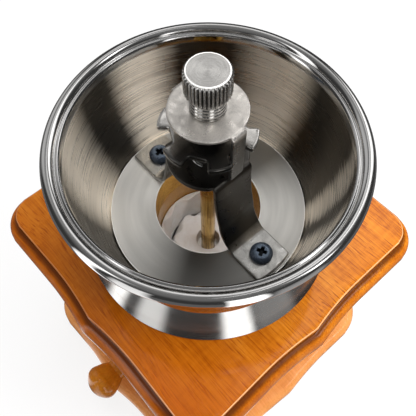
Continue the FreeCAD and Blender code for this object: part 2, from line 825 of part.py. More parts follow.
def make_shaft():
    low = strap_low - shaft_tail
    body = rod(shaft_r, low, bush_top + slip_gap)
    thread = rod(thread_r, bush_top + slip_gap, square_bottom)
    half = square_side / 2
    square = block(-half, half, -half, half, square_bottom, square_top)
    square.rotate(ORIGIN, UP, lock_turn)
    square = square.common(rod(thread_r, square_bottom, square_top))
    top = rod(top_thread_r, square_top, top_thread_top)
    shaft = body.fuse(thread).fuse(square).fuse(top)
    pin = Part.makeCylinder(drive_pin_r + fit_gap, shaft_r * 4, V(-shaft_r * 2, 0, drive_pin_z), V(1, 0, 0))
    shaft = shaft.cut(pin)
    ends = rim_edges(shaft, low) + rim_edges(shaft, top_thread_top)
    return shaft.makeChamfer(shaft_chamfer, ends)


def make_drive_pin():
    start = V(-drive_pin_length / 2, 0, drive_pin_z)
    return Part.makeCylinder(drive_pin_r, drive_pin_length, start, V(1, 0, 0))


def make_adjusting_wheel():
    """Six-lobed wheel with a hub above and a narrower one below."""
    disc = rod(wheel_r, wheel_bottom, wheel_top)
    half = notch_width / 2
    mouth = notch_mouth / 2
    r = notch_corner_r
    k = r * (1 - math.sqrt(0.5))
    floor = notch_floor_r
    outline = [
        line(V(floor, -half + r, 0), V(floor, half - r, 0)),
        arc(V(floor, half - r, 0), V(floor + k, half - k, 0), V(floor + r, half, 0)),
        line(V(floor + r, half, 0), V(wheel_r + 1, mouth, 0)),
        line(V(wheel_r + 1, mouth, 0), V(wheel_r + 1, -mouth, 0)),
        line(V(wheel_r + 1, -mouth, 0), V(floor + r, -half, 0)),
        arc(V(floor + r, -half, 0), V(floor + k, -half + k, 0), V(floor, -half + r, 0)),
    ]
    notch = prism(outline, 0, wheel_thick + 2)
    for i in range(wheel_lobes):
        disc = disc.cut(placed(notch, 0, 0, wheel_bottom - 1, turn=lock_turn + 360.0 / wheel_lobes * i))
    corners = [e for e in disc.Edges
               if e.BoundBox.ZLength > wheel_thick * 0.9 and
               math.hypot(e.Vertexes[0].X, e.Vertexes[0].Y) > wheel_r - 0.05]
    disc = disc.makeFillet(lobe_corner_r, corners)
    disc = disc.makeFillet(wheel_edge_r, rim_edges(disc, wheel_top))
    wheel = disc.fuse(rod(wheel_hub_r, wheel_top, lock_bottom))
    wheel = wheel.fuse(rod(wheel_hub_low_r, bush_top + slip_gap, wheel_bottom))
    return wheel.cut(rod(thread_r + fit_gap, bush_top, lock_bottom + 1))


def make_lock_plate():
    """Disc with two tabs bent down through opposite notches of the wheel."""
    low = bridge_top + tab_foot_gap
    t = lock_thick
    disc = rod(lock_r, lock_bottom, lock_top)
    outer = tab_inner + t
    bend = tab_bend_r
    k = bend * (1 - math.sqrt(0.5))
    corner = [
        line(V(0, 0, lock_top), V(outer - bend, 0, lock_top)),
        arc(V(outer - bend, 0, lock_top), V(outer - k, 0, lock_top - k), V(outer, 0, lock_top - bend)),
        line(V(outer, 0, lock_top - bend), V(outer, 0, low)),
        line(V(outer, 0, low), V(tab_inner, 0, low)),
        line(V(tab_inner, 0, low), V(tab_inner, 0, lock_bottom)),
        line(V(tab_inner, 0, lock_bottom), V(0, 0, lock_bottom)),
        line(V(0, 0, lock_bottom), V(0, 0, lock_top)),
    ]
    tab = Part.Face(Part.Wire(corner)).extrude(V(0, tab_width, 0))
    tab.translate(V(0, -tab_width / 2, 0))
    plate = disc.fuse(tab).fuse(placed(tab, 0, 0, 0, turn=180))
    half = square_side / 2 + fit_gap
    plate = plate.cut(block(-half, half, -half, half, lock_bottom - 1, lock_top + 1))
    plate.rotate(ORIGIN, UP, lock_turn)
    return plate


def make_nut_washer():
    return tube(washer_r, nut_counterbore_r, lock_top, lock_top + washer_thick)


def make_thumb_nut():
    """Knurled cap nut: straight teeth, a turned face, a taper and a neck with fine rings."""
    low = lock_top + washer_thick
    head_low = low + nut_neck_length
    high = head_low + nut_head_length
    root_r = nut_head_r - knurl_depth
    points = []
    for i in range(knurl_teeth):
        a = 360.0 / knurl_teeth
        points += [polar(nut_head_r, a * (i - knurl_land), head_low),
                   polar(nut_head_r, a * (i + knurl_land), head_low), polar(root_r, a * (i + 0.5), head_low)]
    teeth = Part.Face(Part.makePolygon(points + points[:1])).extrude(V(0, 0, nut_head_length))
    bevel_r = nut_face_r + nut_face_bevel
    shape = turned([(0, head_low), (nut_neck_r, head_low), (nut_head_r, head_low + nut_taper),
                    (nut_head_r, high - nut_shoulder), (bevel_r, high - nut_face_bevel),
                    (nut_face_r, high), (0, high)])
    head = teeth.common(shape)
    groove_r = nut_neck_r - nut_ring_depth
    neck = [(0, low), (groove_r, low)]
    pitch = nut_neck_length / nut_rings
    for i in range(nut_rings):
        z = low + pitch * i
        neck += [(groove_r, z + pitch * nut_ring_foot), (nut_neck_r, z + pitch * nut_ring_rise),
                 (nut_neck_r, z + pitch * nut_ring_fall), (groove_r, z + pitch)]
    neck += [(0, head_low)]
    nut = head.fuse(turned(neck))
    nut = nut.cut(rod(nut_counterbore_r, low - 1, low - washer_thick + nut_counterbore))
    return nut.cut(rod(top_thread_r + fit_gap, low, low - washer_thick + nut_bore_depth))


# Burrs

def toothed_ring(radius, valley, teeth, turn, z):
    """Closed saw-toothed outline: each tooth rises slowly and falls quickly."""
    points = []
    step = 360.0 / teeth
    for i in range(teeth):
        points.append(polar(radius, turn + step * i, z))
        points.append(polar(radius - valley, turn + step * (i + tooth_crest), z))
    return Part.makePolygon(points + points[:1])


def make_inner_burr():
    """Cone with coarse twisted teeth that fade into fine ones at the wide end."""
    middle = inner_bottom + inner_burr_height * inner_burr_waist
    middle_r = inner_burr_top_r + (inner_burr_exit_r - inner_burr_top_r) * inner_burr_waist_taper
    upper = Part.makeLoft([
        toothed_ring(middle_r, inner_burr_valley * inner_waist_valley, inner_burr_teeth, burr_twist, middle),
        toothed_ring(inner_burr_top_r, inner_burr_valley, inner_burr_teeth, 0.0, inner_top)], True, True)
    overlap = middle + inner_exit_height * 0.3
    lower = turned([(0, inner_bottom), (inner_burr_exit_r, inner_bottom),
                    (inner_burr_exit_r, inner_bottom + inner_exit_height),
                    (middle_r - inner_burr_valley, overlap), (0, overlap)])
    burr = upper.fuse(lower)
    burr = burr.cut(rod(shaft_r + fit_gap, inner_bottom - 1, inner_top + 1))
    burr = burr.cut(rod(inner_burr_recess_r, recess_floor, inner_top + 1))
    half = drive_pin_length / 2 + slip_gap
    slot_half = drive_pin_r + fit_gap
    return burr.cut(block(-half, half, -slot_half, slot_half, drive_pin_z - slot_half, recess_floor + 1))


def make_outer_burr():
    """Ring whose bore is a toothed funnel above and a smooth cone below."""
    middle = outer_bottom + outer_burr_height * outer_burr_waist
    throat_r = outer_burr_throat_r + outer_throat_tooth
    mouth_r = outer_burr_mouth_r + outer_mouth_tooth * 0.25
    funnel = Part.makeLoft([
        toothed_ring(throat_r, outer_throat_tooth, outer_burr_teeth, burr_twist, middle),
        toothed_ring(mouth_r, outer_mouth_tooth, outer_burr_teeth, 0.0, outer_top)], True, True)
    low_r = outer_burr_exit_r
    waist_r = outer_burr_throat_r + outer_throat_tooth * 0.5
    low = outer_bottom - 1
    cone = turned([(0, low), (low_r, low), (low_r, outer_bottom + outer_exit_height),
                   (waist_r, middle + fit_gap), (0, middle + fit_gap)])
    return rod(outer_burr_r, outer_bottom, outer_top).cut(funnel).cut(cone)


def make_burr_washer():
    return tube(burr_washer_r, shaft_r + fit_gap, inner_bottom - burr_washer_thick, inner_bottom)


def make_burr_nut():
    top = inner_bottom - burr_washer_thick
    corners = [polar(burr_nut_flats / math.sqrt(3.0), 60.0 * i, top - burr_nut_h) for i in range(6)]
    nut = Part.Face(Part.makePolygon(corners + corners[:1])).extrude(V(0, 0, burr_nut_h))
    return nut.cut(rod(shaft_r + fit_gap, top - burr_nut_h - 1, top + 1))


# Housing and lower bearing under the top board

def housing_screw_holes():
    top = board_bottom - housing_flange - bearing_strap_thick + housing_screw_length + fit_gap
    r = housing_screw_r + fit_gap
    cutters = []
    for angle in housing_screw_angles + strap_screw_angles:
        p = polar(housing_screw_ring_r, angle)
        cutters.append(rod(r, board_bottom - housing_flange - 1, top + bearing_strap_thick, p.x, p.y))
    return cutters


def make_burr_housing():
    flange = tube(housing_flange_r, housing_inner_r, board_bottom - housing_flange, board_bottom)
    outer = housing_inner_r + housing_wall
    wall = tube(outer, housing_inner_r, outer_bottom, board_bottom)
    lip = tube(outer, outer_burr_exit_r, outer_bottom - housing_lip, outer_bottom)
    housing = flange.fuse(wall).fuse(lip)
    for cutter in housing_screw_holes():
        housing = housing.cut(cutter)
    return housing


def small_cross_recess():
    span = cross_span * small_cross
    return cross_recess(housing_screw_head_h, span, cross_width, cross_depth * small_cross)


def make_housing_screws():
    screw = wood_screw(housing_screw_r, housing_screw_length, housing_screw_head_r, housing_screw_head_h)
    screw = screw.cut(small_cross_recess())
    seat = board_bottom - housing_flange
    places = [polar(housing_screw_ring_r, a, seat) for a in housing_screw_angles]
    return Part.makeCompound([placed(screw, p.x, p.y, p.z, flip=True) for p in places])


def make_strap_screws():
    screw = wood_screw(housing_screw_r, housing_screw_length + bearing_strap_thick, housing_screw_head_r,
                       housing_screw_head_h)
    screw = screw.cut(small_cross_recess())
    seat = board_bottom - housing_flange - bearing_strap_thick
    places = [polar(housing_screw_ring_r, a, seat) for a in strap_screw_angles]
    return Part.makeCompound([placed(screw, p.x, p.y, p.z, flip=True) for p in places])


def make_bearing_strap():
    """Strap hung under the housing, with a hub that steadies the foot of the spindle."""
    w = bearing_strap_width / 2
    t = bearing_strap_thick
    top = board_bottom - housing_flange
    y = bearing_leg_y
    span = block(-w, w, -y, y, strap_low, strap_low + t)
    strap = span.fuse(rod(bearing_hub_r, strap_low, strap_low + bearing_hub_h))
    foot_end = housing_flange_r
    for sign in (-1, 1):
        y0, y1 = sorted((sign * (y - t), sign * y))
        strap = strap.fuse(block(-w, w, y0, y1, strap_low, top))
        y0, y1 = sorted((sign * (y - t), sign * foot_end))
        strap = strap.fuse(block(-w, w, y0, y1, top - t, top))
    for angle in strap_screw_angles:
        p = polar(housing_screw_ring_r, angle)
        strap = strap.cut(rod(housing_screw_r + fit_gap, top - t - 1, top + 1, p.x, p.y))
    return strap.cut(rod(shaft_r + fit_gap, strap_low - 1, strap_low + bearing_hub_h + 1))


write("base_board", make_base_board())
write("base_screws", make_base_screws())
write("left_side", make_side(-1))
write("right_side", make_side(1))
write("back_panel", make_back_panel())
write("front_panel", make_front_panel())
write("drawer_guides", make_drawer_guides())
write("top_board", make_top_board())
write("drawer_front", make_drawer_front())
write("drawer_left", make_drawer_side(-1))
write("drawer_right", make_drawer_side(1))
write("drawer_back", make_drawer_back())
write("drawer_bottom", make_drawer_bottom())
write("drawer_knob", make_drawer_knob())
write("knob_screw", make_knob_screw())
write("hopper_block", make_hopper_block())
write("hopper_bowl", make_hopper_bowl())
write("hopper_foot", make_hopper_foot())
write("hopper_floor", make_hopper_floor())
write("bridge", make_bridge())
write("bridge_screws", make_bridge_screws())
write("bridge_bush", make_bridge_bush())
write("bush_spring", make_spring())
write("shaft", make_shaft())
write("drive_pin", make_drive_pin())
write("adjusting_wheel", make_adjusting_wheel())
write("lock_plate", make_lock_plate())
write("nut_washer", make_nut_washer())
write("thumb_nut", make_thumb_nut())
write("inner_burr", make_inner_burr())
write("outer_burr", make_outer_burr())
write("burr_washer", make_burr_washer())
write("burr_nut", make_burr_nut())
write("burr_housing", make_burr_housing())
write("housing_screws", make_housing_screws())
write("strap_screws", make_strap_screws())
write("bearing_strap", make_bearing_strap())
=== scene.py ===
"""Dressed model of a box coffee mill: lacquered wooden box, spun steel hopper, bridge, spindle and burrs.

Lengths are millimetres, turned into metres where a mesh is made; the lengths that a finish reads are metres.
The spindle axis is Z, the table is Z = 0 and the drawer opens towards -Y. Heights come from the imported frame.
"""
import logging
import math
from collections.abc import Callable, Iterable, Sequence
from dataclasses import dataclass, field
from enum import Enum

import bmesh
import bpy
from mathutils import Matrix, Vector


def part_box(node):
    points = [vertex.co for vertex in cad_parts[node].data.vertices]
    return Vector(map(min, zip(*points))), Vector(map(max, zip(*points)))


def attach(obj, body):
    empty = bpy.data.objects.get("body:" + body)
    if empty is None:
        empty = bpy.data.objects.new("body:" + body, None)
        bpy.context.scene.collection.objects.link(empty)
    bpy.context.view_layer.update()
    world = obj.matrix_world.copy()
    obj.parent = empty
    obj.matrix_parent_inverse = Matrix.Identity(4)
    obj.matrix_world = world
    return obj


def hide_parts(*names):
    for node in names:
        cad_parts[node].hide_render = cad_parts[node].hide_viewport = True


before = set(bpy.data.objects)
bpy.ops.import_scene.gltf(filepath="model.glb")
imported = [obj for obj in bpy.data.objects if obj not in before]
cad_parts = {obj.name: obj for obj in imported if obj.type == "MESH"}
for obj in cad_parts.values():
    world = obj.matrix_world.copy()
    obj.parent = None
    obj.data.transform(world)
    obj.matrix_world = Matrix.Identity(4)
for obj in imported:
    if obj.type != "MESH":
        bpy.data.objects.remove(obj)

log = logging.getLogger("coffee_mill")

Mesh = bpy.types.Mesh
Node = bpy.types.Node
NodeTree = bpy.types.NodeTree
Socket = bpy.types.NodeSocket
BMesh = bmesh.types.BMesh
Row = list[bmesh.types.BMVert]
Pair = tuple[float, float]
Triple = tuple[float, float, float]
Colour = tuple[float, float, float]

MM = 0.001
SMALL = 1e-6
QUARTER = math.pi / 2
HOLE_STEPS = 96


class Slot(Enum):
    """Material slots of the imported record."""

    LACQUERED_WOOD = "lacquered_wood"
    KNOB_WOOD = "knob_wood"
    PLAIN_WOOD = "plain_wood"
    POLISHED_STEEL = "polished_steel"
    SATIN_STEEL = "satin_steel"
    NICKEL_STEEL = "nickel_steel"
    SPRING_STEEL = "spring_steel"
    ZINC_STEEL = "zinc_steel"
    BLACK_STEEL = "black_steel"
    BRASS = "brass"
    CERAMIC = "ceramic"


class Body(Enum):
    """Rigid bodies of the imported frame."""

    MILL = "mill"
    DRAWER = "drawer"
    SPINDLE = "spindle"
    WASHER = "washer"
    NUT = "nut"


class Grain(Enum):
    """Direction in which a board's fibres run, as the turn that lays the wood pattern along it."""

    ALONG_X = (0.0, 0.0, 0.0)
    ALONG_Y = (0.0, 0.0, QUARTER)
    ALONG_Z = (0.0, QUARTER, 0.0)


# Node trees


class Tree:
    """Adds and joins the nodes of one shader or geometry tree."""

    def __init__(self, tree: NodeTree) -> None:
        """Keep the tree that the nodes go to."""
        self.tree = tree

    def add(self, kind: str, inputs: dict[str | int, object] | None = None, **settings: object) -> Node:
        """Add a node.

        Args:
            kind: Blender's name of the node type.
            inputs: Values or sockets for its inputs, by name or index.
            settings: Plain properties of the node.

        Returns:
            The new node.
        """
        node = self.tree.nodes.new(kind)
        for name, value in settings.items():
            setattr(node, name, value)
        self.give(node, inputs or {})
        return node

    def give(self, node: Node, inputs: dict[str | int, object]) -> None:
        """Give a node's inputs their links or fixed values."""
        for key, value in inputs.items():
            self.feed(node.inputs[key], value)

    def feed(self, socket: Socket, value: object) -> None:
        """Give a socket a link, or a fixed value where it isn't given a socket."""
        if isinstance(value, Socket):
            self.tree.links.new(value, socket)
        else:
            socket.default_value = value

    def math(self, operation: str, first: object, second: object = 0.0, clamp: bool = False) -> Socket:
        """Return the result of one sum on two numbers or sockets."""
        node = self.add("ShaderNodeMath", {0: first, 1: second}, operation=operation, use_clamp=clamp)
        return node.outputs[0]

    def chain(self, operation: str, values: Sequence[object]) -> Socket:
        """Return the result of the same sum on one value after another.

        Args:
            operation: Blender's name of the sum.
            values: Numbers or sockets.

        Returns:
            The last sum's socket.
        """
        made = values[0]
        for value in values[1:]:
            made = self.math(operation, made, value)
        return made

    def times(self, *factors: object) -> Socket:
        """Return the product of numbers or sockets."""
        return self.chain("MULTIPLY", factors)

    def plus(self, *terms: object) -> Socket:
        """Return the sum of numbers or sockets."""
        return self.chain("ADD", terms)

    def minus(self, *terms: object) -> Socket:
        """Return the first number or socket less the others."""
        return self.chain("SUBTRACT", terms)

    def apart(self, value: object, other: object) -> Socket:
        """Return how far two numbers or sockets are apart."""
        return self.math("ABSOLUTE", self.minus(value, other))

    def vector(self, operation: str, first: object, second: object = (0.0, 0.0, 0.0)) -> Socket:
        """Return the result of one sum on vectors."""
        node = self.add("ShaderNodeVectorMath", {0: first, 1: second}, operation=operation)
        return node.outputs["Value" if operation in ("LENGTH", "DOT_PRODUCT") else "Vector"]

    def towards(self, vector: object, azimuth: float) -> Socket:
        """Return how far a vector points along an azimuth, given in degrees."""
        way = math.radians(azimuth)
        return self.vector("DOT_PRODUCT", vector, (math.cos(way), math.sin(way), 0.0))

    def joined(self, x: object = 0.0, y: object = 0.0, z: object = 0.0) -> Socket:
        """Return a vector made of three numbers or sockets."""
        return self.add("ShaderNodeCombineXYZ", {0: x, 1: y, 2: z}).outputs[0]

    def parts(self, vector: object) -> Sequence[Socket]:
        """Return a vector's X, Y and Z."""
        return self.add("ShaderNodeSeparateXYZ", {0: vector}).outputs

    def place(self) -> Socket:
        """Return the place on the object, in metres."""
        return self.add("ShaderNodeTexCoord").outputs["Object"]

    def noise(self, vector: object, scale: object, detail: float = 2.0, rough: float = 0.5,
              twist: float = 0.0) -> Socket:
        """Return the value of a noise pattern.

        Args:
            vector: Where the pattern is read.
            scale: How fine it is, as a number, a socket or one number for each axis.
            detail: How many finer layers it has.
            rough: How strong the finer layers are.
            twist: How far it is warped.

        Returns:
            The value, about 0.5 on average.
        """
        if isinstance(scale, tuple):
            vector, scale = self.vector("MULTIPLY", vector, scale), 1.0
        node = self.add("ShaderNodeTexNoise", {"Vector": vector, "Scale": scale, "Detail": detail,
                                               "Roughness": rough, "Distortion": twist})
        return node.outputs["Fac"]

    def ramp(self, fac: object, stops: Sequence[tuple[float, Colour]]) -> Socket:
        """Return a colour that runs through the stops as a value rises.

        Args:
            fac: The value.
            stops: Values and their colours, rising.

        Returns:
            The colour's socket.
        """
        node = self.add("ShaderNodeValToRGB", {"Fac": fac})
        band = node.color_ramp
        while len(band.elements) < len(stops):
            band.elements.new(0.5)
        for element, (place, colour) in zip(band.elements, stops):
            element.position = place
            element.color = (*colour, 1.0)
        return node.outputs["Color"]

    def band(self, fac: object, low: float, high: float, to_low: float = 0.0, to_high: float = 1.0) -> Socket:
        """Return a value moved from one range to another, held at its ends."""
        node = self.add("ShaderNodeMapRange", {"Value": fac, "From Min": low, "From Max": high,
                                               "To Min": to_low, "To Max": to_high})
        return node.outputs["Result"]

    def blend(self, fac: object, first: object, second: object) -> Socket:
        """Return a mix of two colours.

        Args:
            fac: Share of the second colour.
            first: A socket or three numbers.
            second: A socket or three numbers.

        Returns:
            The mixed colour's socket.
        """
        node = self.add("ShaderNodeMix", {0: fac}, data_type="RGBA", blend_type="MIX")
        for index, value in ((6, first), (7, second)):
            self.feed(node.inputs[index], (*value, 1.0) if isinstance(value, tuple) else value)
        return node.outputs[2]

    def group(self, made: NodeTree, inputs: dict[str, object]) -> Sequence[Socket]:
        """Place a shader node group, fill its inputs and return its outputs."""
        return self.add("ShaderNodeGroup", inputs, node_tree=made).outputs


def shader_group(name: str, inputs: dict[str, float | None], outputs: Sequence[str],
                 fill: Callable[[Tree, Sequence[Socket]], Sequence[Socket]]) -> NodeTree:
    """Make a shader group of patterns once and return it after that.

    Args:
        name: Name of the group.
        inputs: First value of each input by its name, or None where the input is a vector.
        outputs: Names of the outputs, which are all numbers.
        fill: Adds the inner nodes, given the tree and the inputs, and returns what the outputs put out.

    Returns:
        The node group.
    """
    known = bpy.data.node_groups.get(name)
    if known:
        return known
    made = bpy.data.node_groups.new(name, "ShaderNodeTree")
    for label, value in inputs.items():
        kind = "NodeSocketVector" if value is None else "NodeSocketFloat"
        socket = made.interface.new_socket(label, in_out="INPUT", socket_type=kind)
        if value is not None:
            socket.default_value = value
    for label in outputs:
        made.interface.new_socket(label, in_out="OUTPUT", socket_type="NodeSocketFloat")
    tree = Tree(made)
    start, end = tree.add("NodeGroupInput"), tree.add("NodeGroupOutput")
    tree.give(end, dict(zip(outputs, fill(tree, start.outputs))))
    return made


def fibre_group() -> NodeTree:
    """Return the wood pattern: fibres, broad figure and open pores along the X of its vector."""

    def fill(tree: Tree, given: Sequence[Socket]) -> Sequence[Socket]:
        place = given["Place"]
        wander = tree.noise(place, (14.0, 30.0, 30.0))
        sway = tree.joined(0.0, tree.times(wander, 0.012), tree.times(wander, 0.009))
        swayed = tree.vector("ADD", place, sway)
        pores = tree.noise(swayed, (85.0, 2300.0, 2300.0), 1.0)
        return (tree.noise(swayed, (45.0, 1300.0, 1300.0), 3.0, 0.6),
                tree.noise(swayed, (9.0, 150.0, 150.0), 3.0, 0.55),
                tree.band(pores, 0.57, 0.68), tree.noise(place, (480.0, 90.0, 90.0)))

    return shader_group("fibre_pattern", {"Place": None}, ("Fibre", "Figure", "Pores", "Flame"), fill)


def lathe_group() -> NodeTree:
    """Return the pattern of fine rings that a lathe or a spinning tool leaves about the spindle."""

    def fill(tree: Tree, given: Sequence[Socket]) -> Sequence[Socket]:
        x, y, z = tree.parts(tree.place())
        flat = tree.joined(x, y)
        turn = tree.parts(tree.vector("NORMALIZE", flat))
        across = tree.times(tree.vector("LENGTH", flat), given["Fineness"])
        warped = tree.joined(tree.plus(across, tree.times(z, given["Fineness"])),
                             tree.times(turn[0], given["Breaks"]), tree.times(turn[1], given["Breaks"]))
        return tree.noise(warped, 1.0, 4.0, 0.65), tree.noise(warped, (0.13, 0.6, 0.6))

    return shader_group("lathe_rings", {"Fineness": 2000.0, "Breaks": 2.0}, ("Rings", "Bands"), fill)


def wear_group() -> NodeTree:
    """Return smudges and fine pits, for plated, polished and fired surfaces."""

    def fill(tree: Tree, given: Sequence[Socket]) -> Sequence[Socket]:
        place = tree.place()
        pits = tree.add("ShaderNodeTexVoronoi", {"Vector": place, "Scale": given["Grit"]}).outputs["Distance"]
        return tree.noise(place, given["Size"], 3.0, 0.6, 0.6), tree.band(pits, 0.10, 0.45, 1.0, 0.0)

    return shader_group("metal_wear", {"Size": 60.0, "Grit": 900.0}, ("Smudge", "Pits"), fill)


# Finishes

# Colour of the painted highlight lines on rounded rims.
RIM_HIGHLIGHT: Colour = (0.93, 0.91, 0.87)
BRIGHT_SKIN: Colour = (0.80, 0.79, 0.78)
# Colour of the painted shade between teeth.
GAP_SHADE: Colour = (0.02, 0.017, 0.015)
# Colour of the painted highlight on the raised field's edge.
EDGE_HIGHLIGHT_WOOD: Colour = (0.95, 0.66, 0.36)
# Colours of the painted shade on one side of the top board.
SHADED_SIDE_WOOD: tuple[Colour, Colour] = ((0.14, 0.022, 0.000), (0.42, 0.085, 0.000))
BORE_WOOD: tuple[Colour, Colour] = ((0.42, 0.19, 0.03), (0.66, 0.36, 0.08))
WOOD_SHIFT: Triple = (0.31, 0.17, 0.09)
FOOT_RADII: Pair = (0.028, 0.030)


def faded(colour: Colour, share: float) -> Colour:
    """Return a colour darkened to a share of itself."""
    return tuple(part * share for part in colour)


@dataclass(frozen=True)
class Finish:
    """A named surface finish; each kind builds its own material once."""

    name: str
    slot: Slot

    def material(self) -> bpy.types.Material:
        """Return the material, made on first use."""
        known = bpy.data.materials.get(self.name)
        if known:
            return known
        made = bpy.data.materials.new(self.name)
        made.use_nodes = True
        self.dress(Tree(made.node_tree), made.node_tree.nodes["Principled BSDF"])
        return made

    def dress(self, tree: Tree, shader: Node) -> None:
        """Add the finish's nodes to its shader."""
        raise NotImplementedError

    def bump(self, tree: Tree, shader: Node, height: object, depth: float) -> None:
        """Raise the surface by a pattern whose depth is in metres."""
        node = tree.add("ShaderNodeBump", {"Strength": 1.0, "Distance": depth, "Height": height})
        tree.feed(shader.inputs["Normal"], node.outputs["Normal"])


@dataclass(frozen=True)
class Wood(Finish):
    """Wood whose fibres run along its grain."""

    grain: Grain = Grain.ALONG_X

    def pattern(self, tree: Tree, place: Socket, shift: Triple = (0.0, 0.0, 0.0)) -> Sequence[Socket]:
        """Return the wood pattern's outputs, with the pattern turned to the grain and shifted."""
        mapped = tree.add("ShaderNodeMapping", {
            "Vector": place, "Location": shift, "Rotation": self.grain.value})
        return tree.group(fibre_group(), {"Place": mapped.outputs[0]})


@dataclass(frozen=True)
class Lacquer(Wood):
    """Orange-brown wood under clear gloss lacquer.

    The edge setting makes the board's lower edge darker, partly lacquer pooled thicker there and partly painted
    shade;
    the cove setting puts painted shade in the groove round its raised field, and the side setting painted shade
    on one side. Within bore_radius the wood is bare. Each of them does nothing at 0.
    """

    dark: Colour = (0.33, 0.070, 0.003)
    mid: Colour = (0.56, 0.150, 0.006)
    light: Colour = (0.74, 0.235, 0.014)
    coat: float = 0.9
    coat_rough: float = 0.09
    pores: float = 0.75
    edge_shade_height: float = 0.0
    cove_shade_height: float = 0.0
    bore_radius: float = 0.0
    shaded_side_towards: float = 0.0

    def dress(self, tree: Tree, shader: Node) -> None:
        """Fibres and figure in the colour, pores in colour and bump, lacquer as a coat."""
        place = tree.place()
        x, y, z = tree.parts(place)
        radius = tree.vector("LENGTH", tree.joined(x, y))
        wood = self.pattern(tree, place, WOOD_SHIFT)
        tone = tree.plus(tree.times(wood["Fibre"], 0.5), tree.times(wood["Figure"], 0.5),
                         tree.band(wood["Flame"], 0.3, 0.7, -0.05, 0.05))
        colour = tree.ramp(tone, [(0.28, self.dark), (0.50, self.mid), (0.72, self.light)])
        tint = tree.blend(tree.times(wood["Pores"], self.pores), colour, self.dark)
        # Painted shade: one side of the board darker, towards an azimuth.
        if self.shaded_side_towards:
            side = tree.band(tree.towards(place, self.shaded_side_towards), 0.010, 0.070, 0.0, 0.85)
            tint = tree.blend(side, tint, tree.blend(wood["Fibre"], *SHADED_SIDE_WOOD))
        # Lower edge darker: partly lacquer pooled thicker there, partly painted shade.
        if self.edge_shade_height:
            below = tree.band(z, self.edge_shade_height - 0.0022, self.edge_shade_height, 0.6, 0.0)
            tint = tree.blend(tree.times(below, tree.band(radius, *FOOT_RADII)), tint,
                              tree.blend(0.45, colour, self.dark))
        # Painted shade in the groove round the raised field.
        if self.cove_shade_height:
            groove = tree.band(tree.apart(z, self.cove_shade_height), 0.0004, 0.0011, 0.85, 0.0)
            tint = tree.blend(groove, tint, faded(self.dark, 0.25))
        if self.bore_radius:
            bore = tree.band(radius, self.bore_radius, self.bore_radius + 0.0003, 1.0, 0.0)
            tint = tree.blend(bore, tint, tree.blend(wood["Fibre"], *BORE_WOOD))
        # Painted highlight along the raised field's rounded edge, stronger towards +X.
        painted_edge_highlight = tree.add("ShaderNodeAttribute", attribute_name="painted_edge_highlight").outputs["Fac"]
        tint = tree.blend(tree.times(painted_edge_highlight, tree.band(x, 0.0, 0.06, 0.15, 0.5)), tint, EDGE_HIGHLIGHT_WOOD)
        tree.give(shader, {
            "Base Color": tint, "Roughness": tree.band(wood["Fibre"], 0.3, 0.7, 0.34, 0.50),
            "Specular IOR Level": 0.06, "Coat Weight": self.coat, "Coat Roughness": self.coat_rough,
            "Coat IOR": 1.5})
        self.bump(tree, shader, tree.minus(tree.times(wood["Fibre"], 0.4), wood["Pores"]), 0.00005)


@dataclass(frozen=True)
class BareWood(Wood):
    """Sanded wood with no lacquer, for the inside of the box."""

    dark: Colour = (0.40, 0.21, 0.075)
    light: Colour = (0.68, 0.43, 0.20)

    def dress(self, tree: Tree, shader: Node) -> None:
        """Fibres in the colour and the bump."""
        wood = self.pattern(tree, tree.place())
        tone = tree.times(tree.plus(wood["Fibre"], wood["Figure"]), 0.5)
        tree.give(shader, {"Base Color": tree.ramp(tone, [(0.36, self.dark), (0.62, self.light)]),
                           "Roughness": 0.72})
        self.bump(tree, shader, wood["Fibre"], 0.00012)


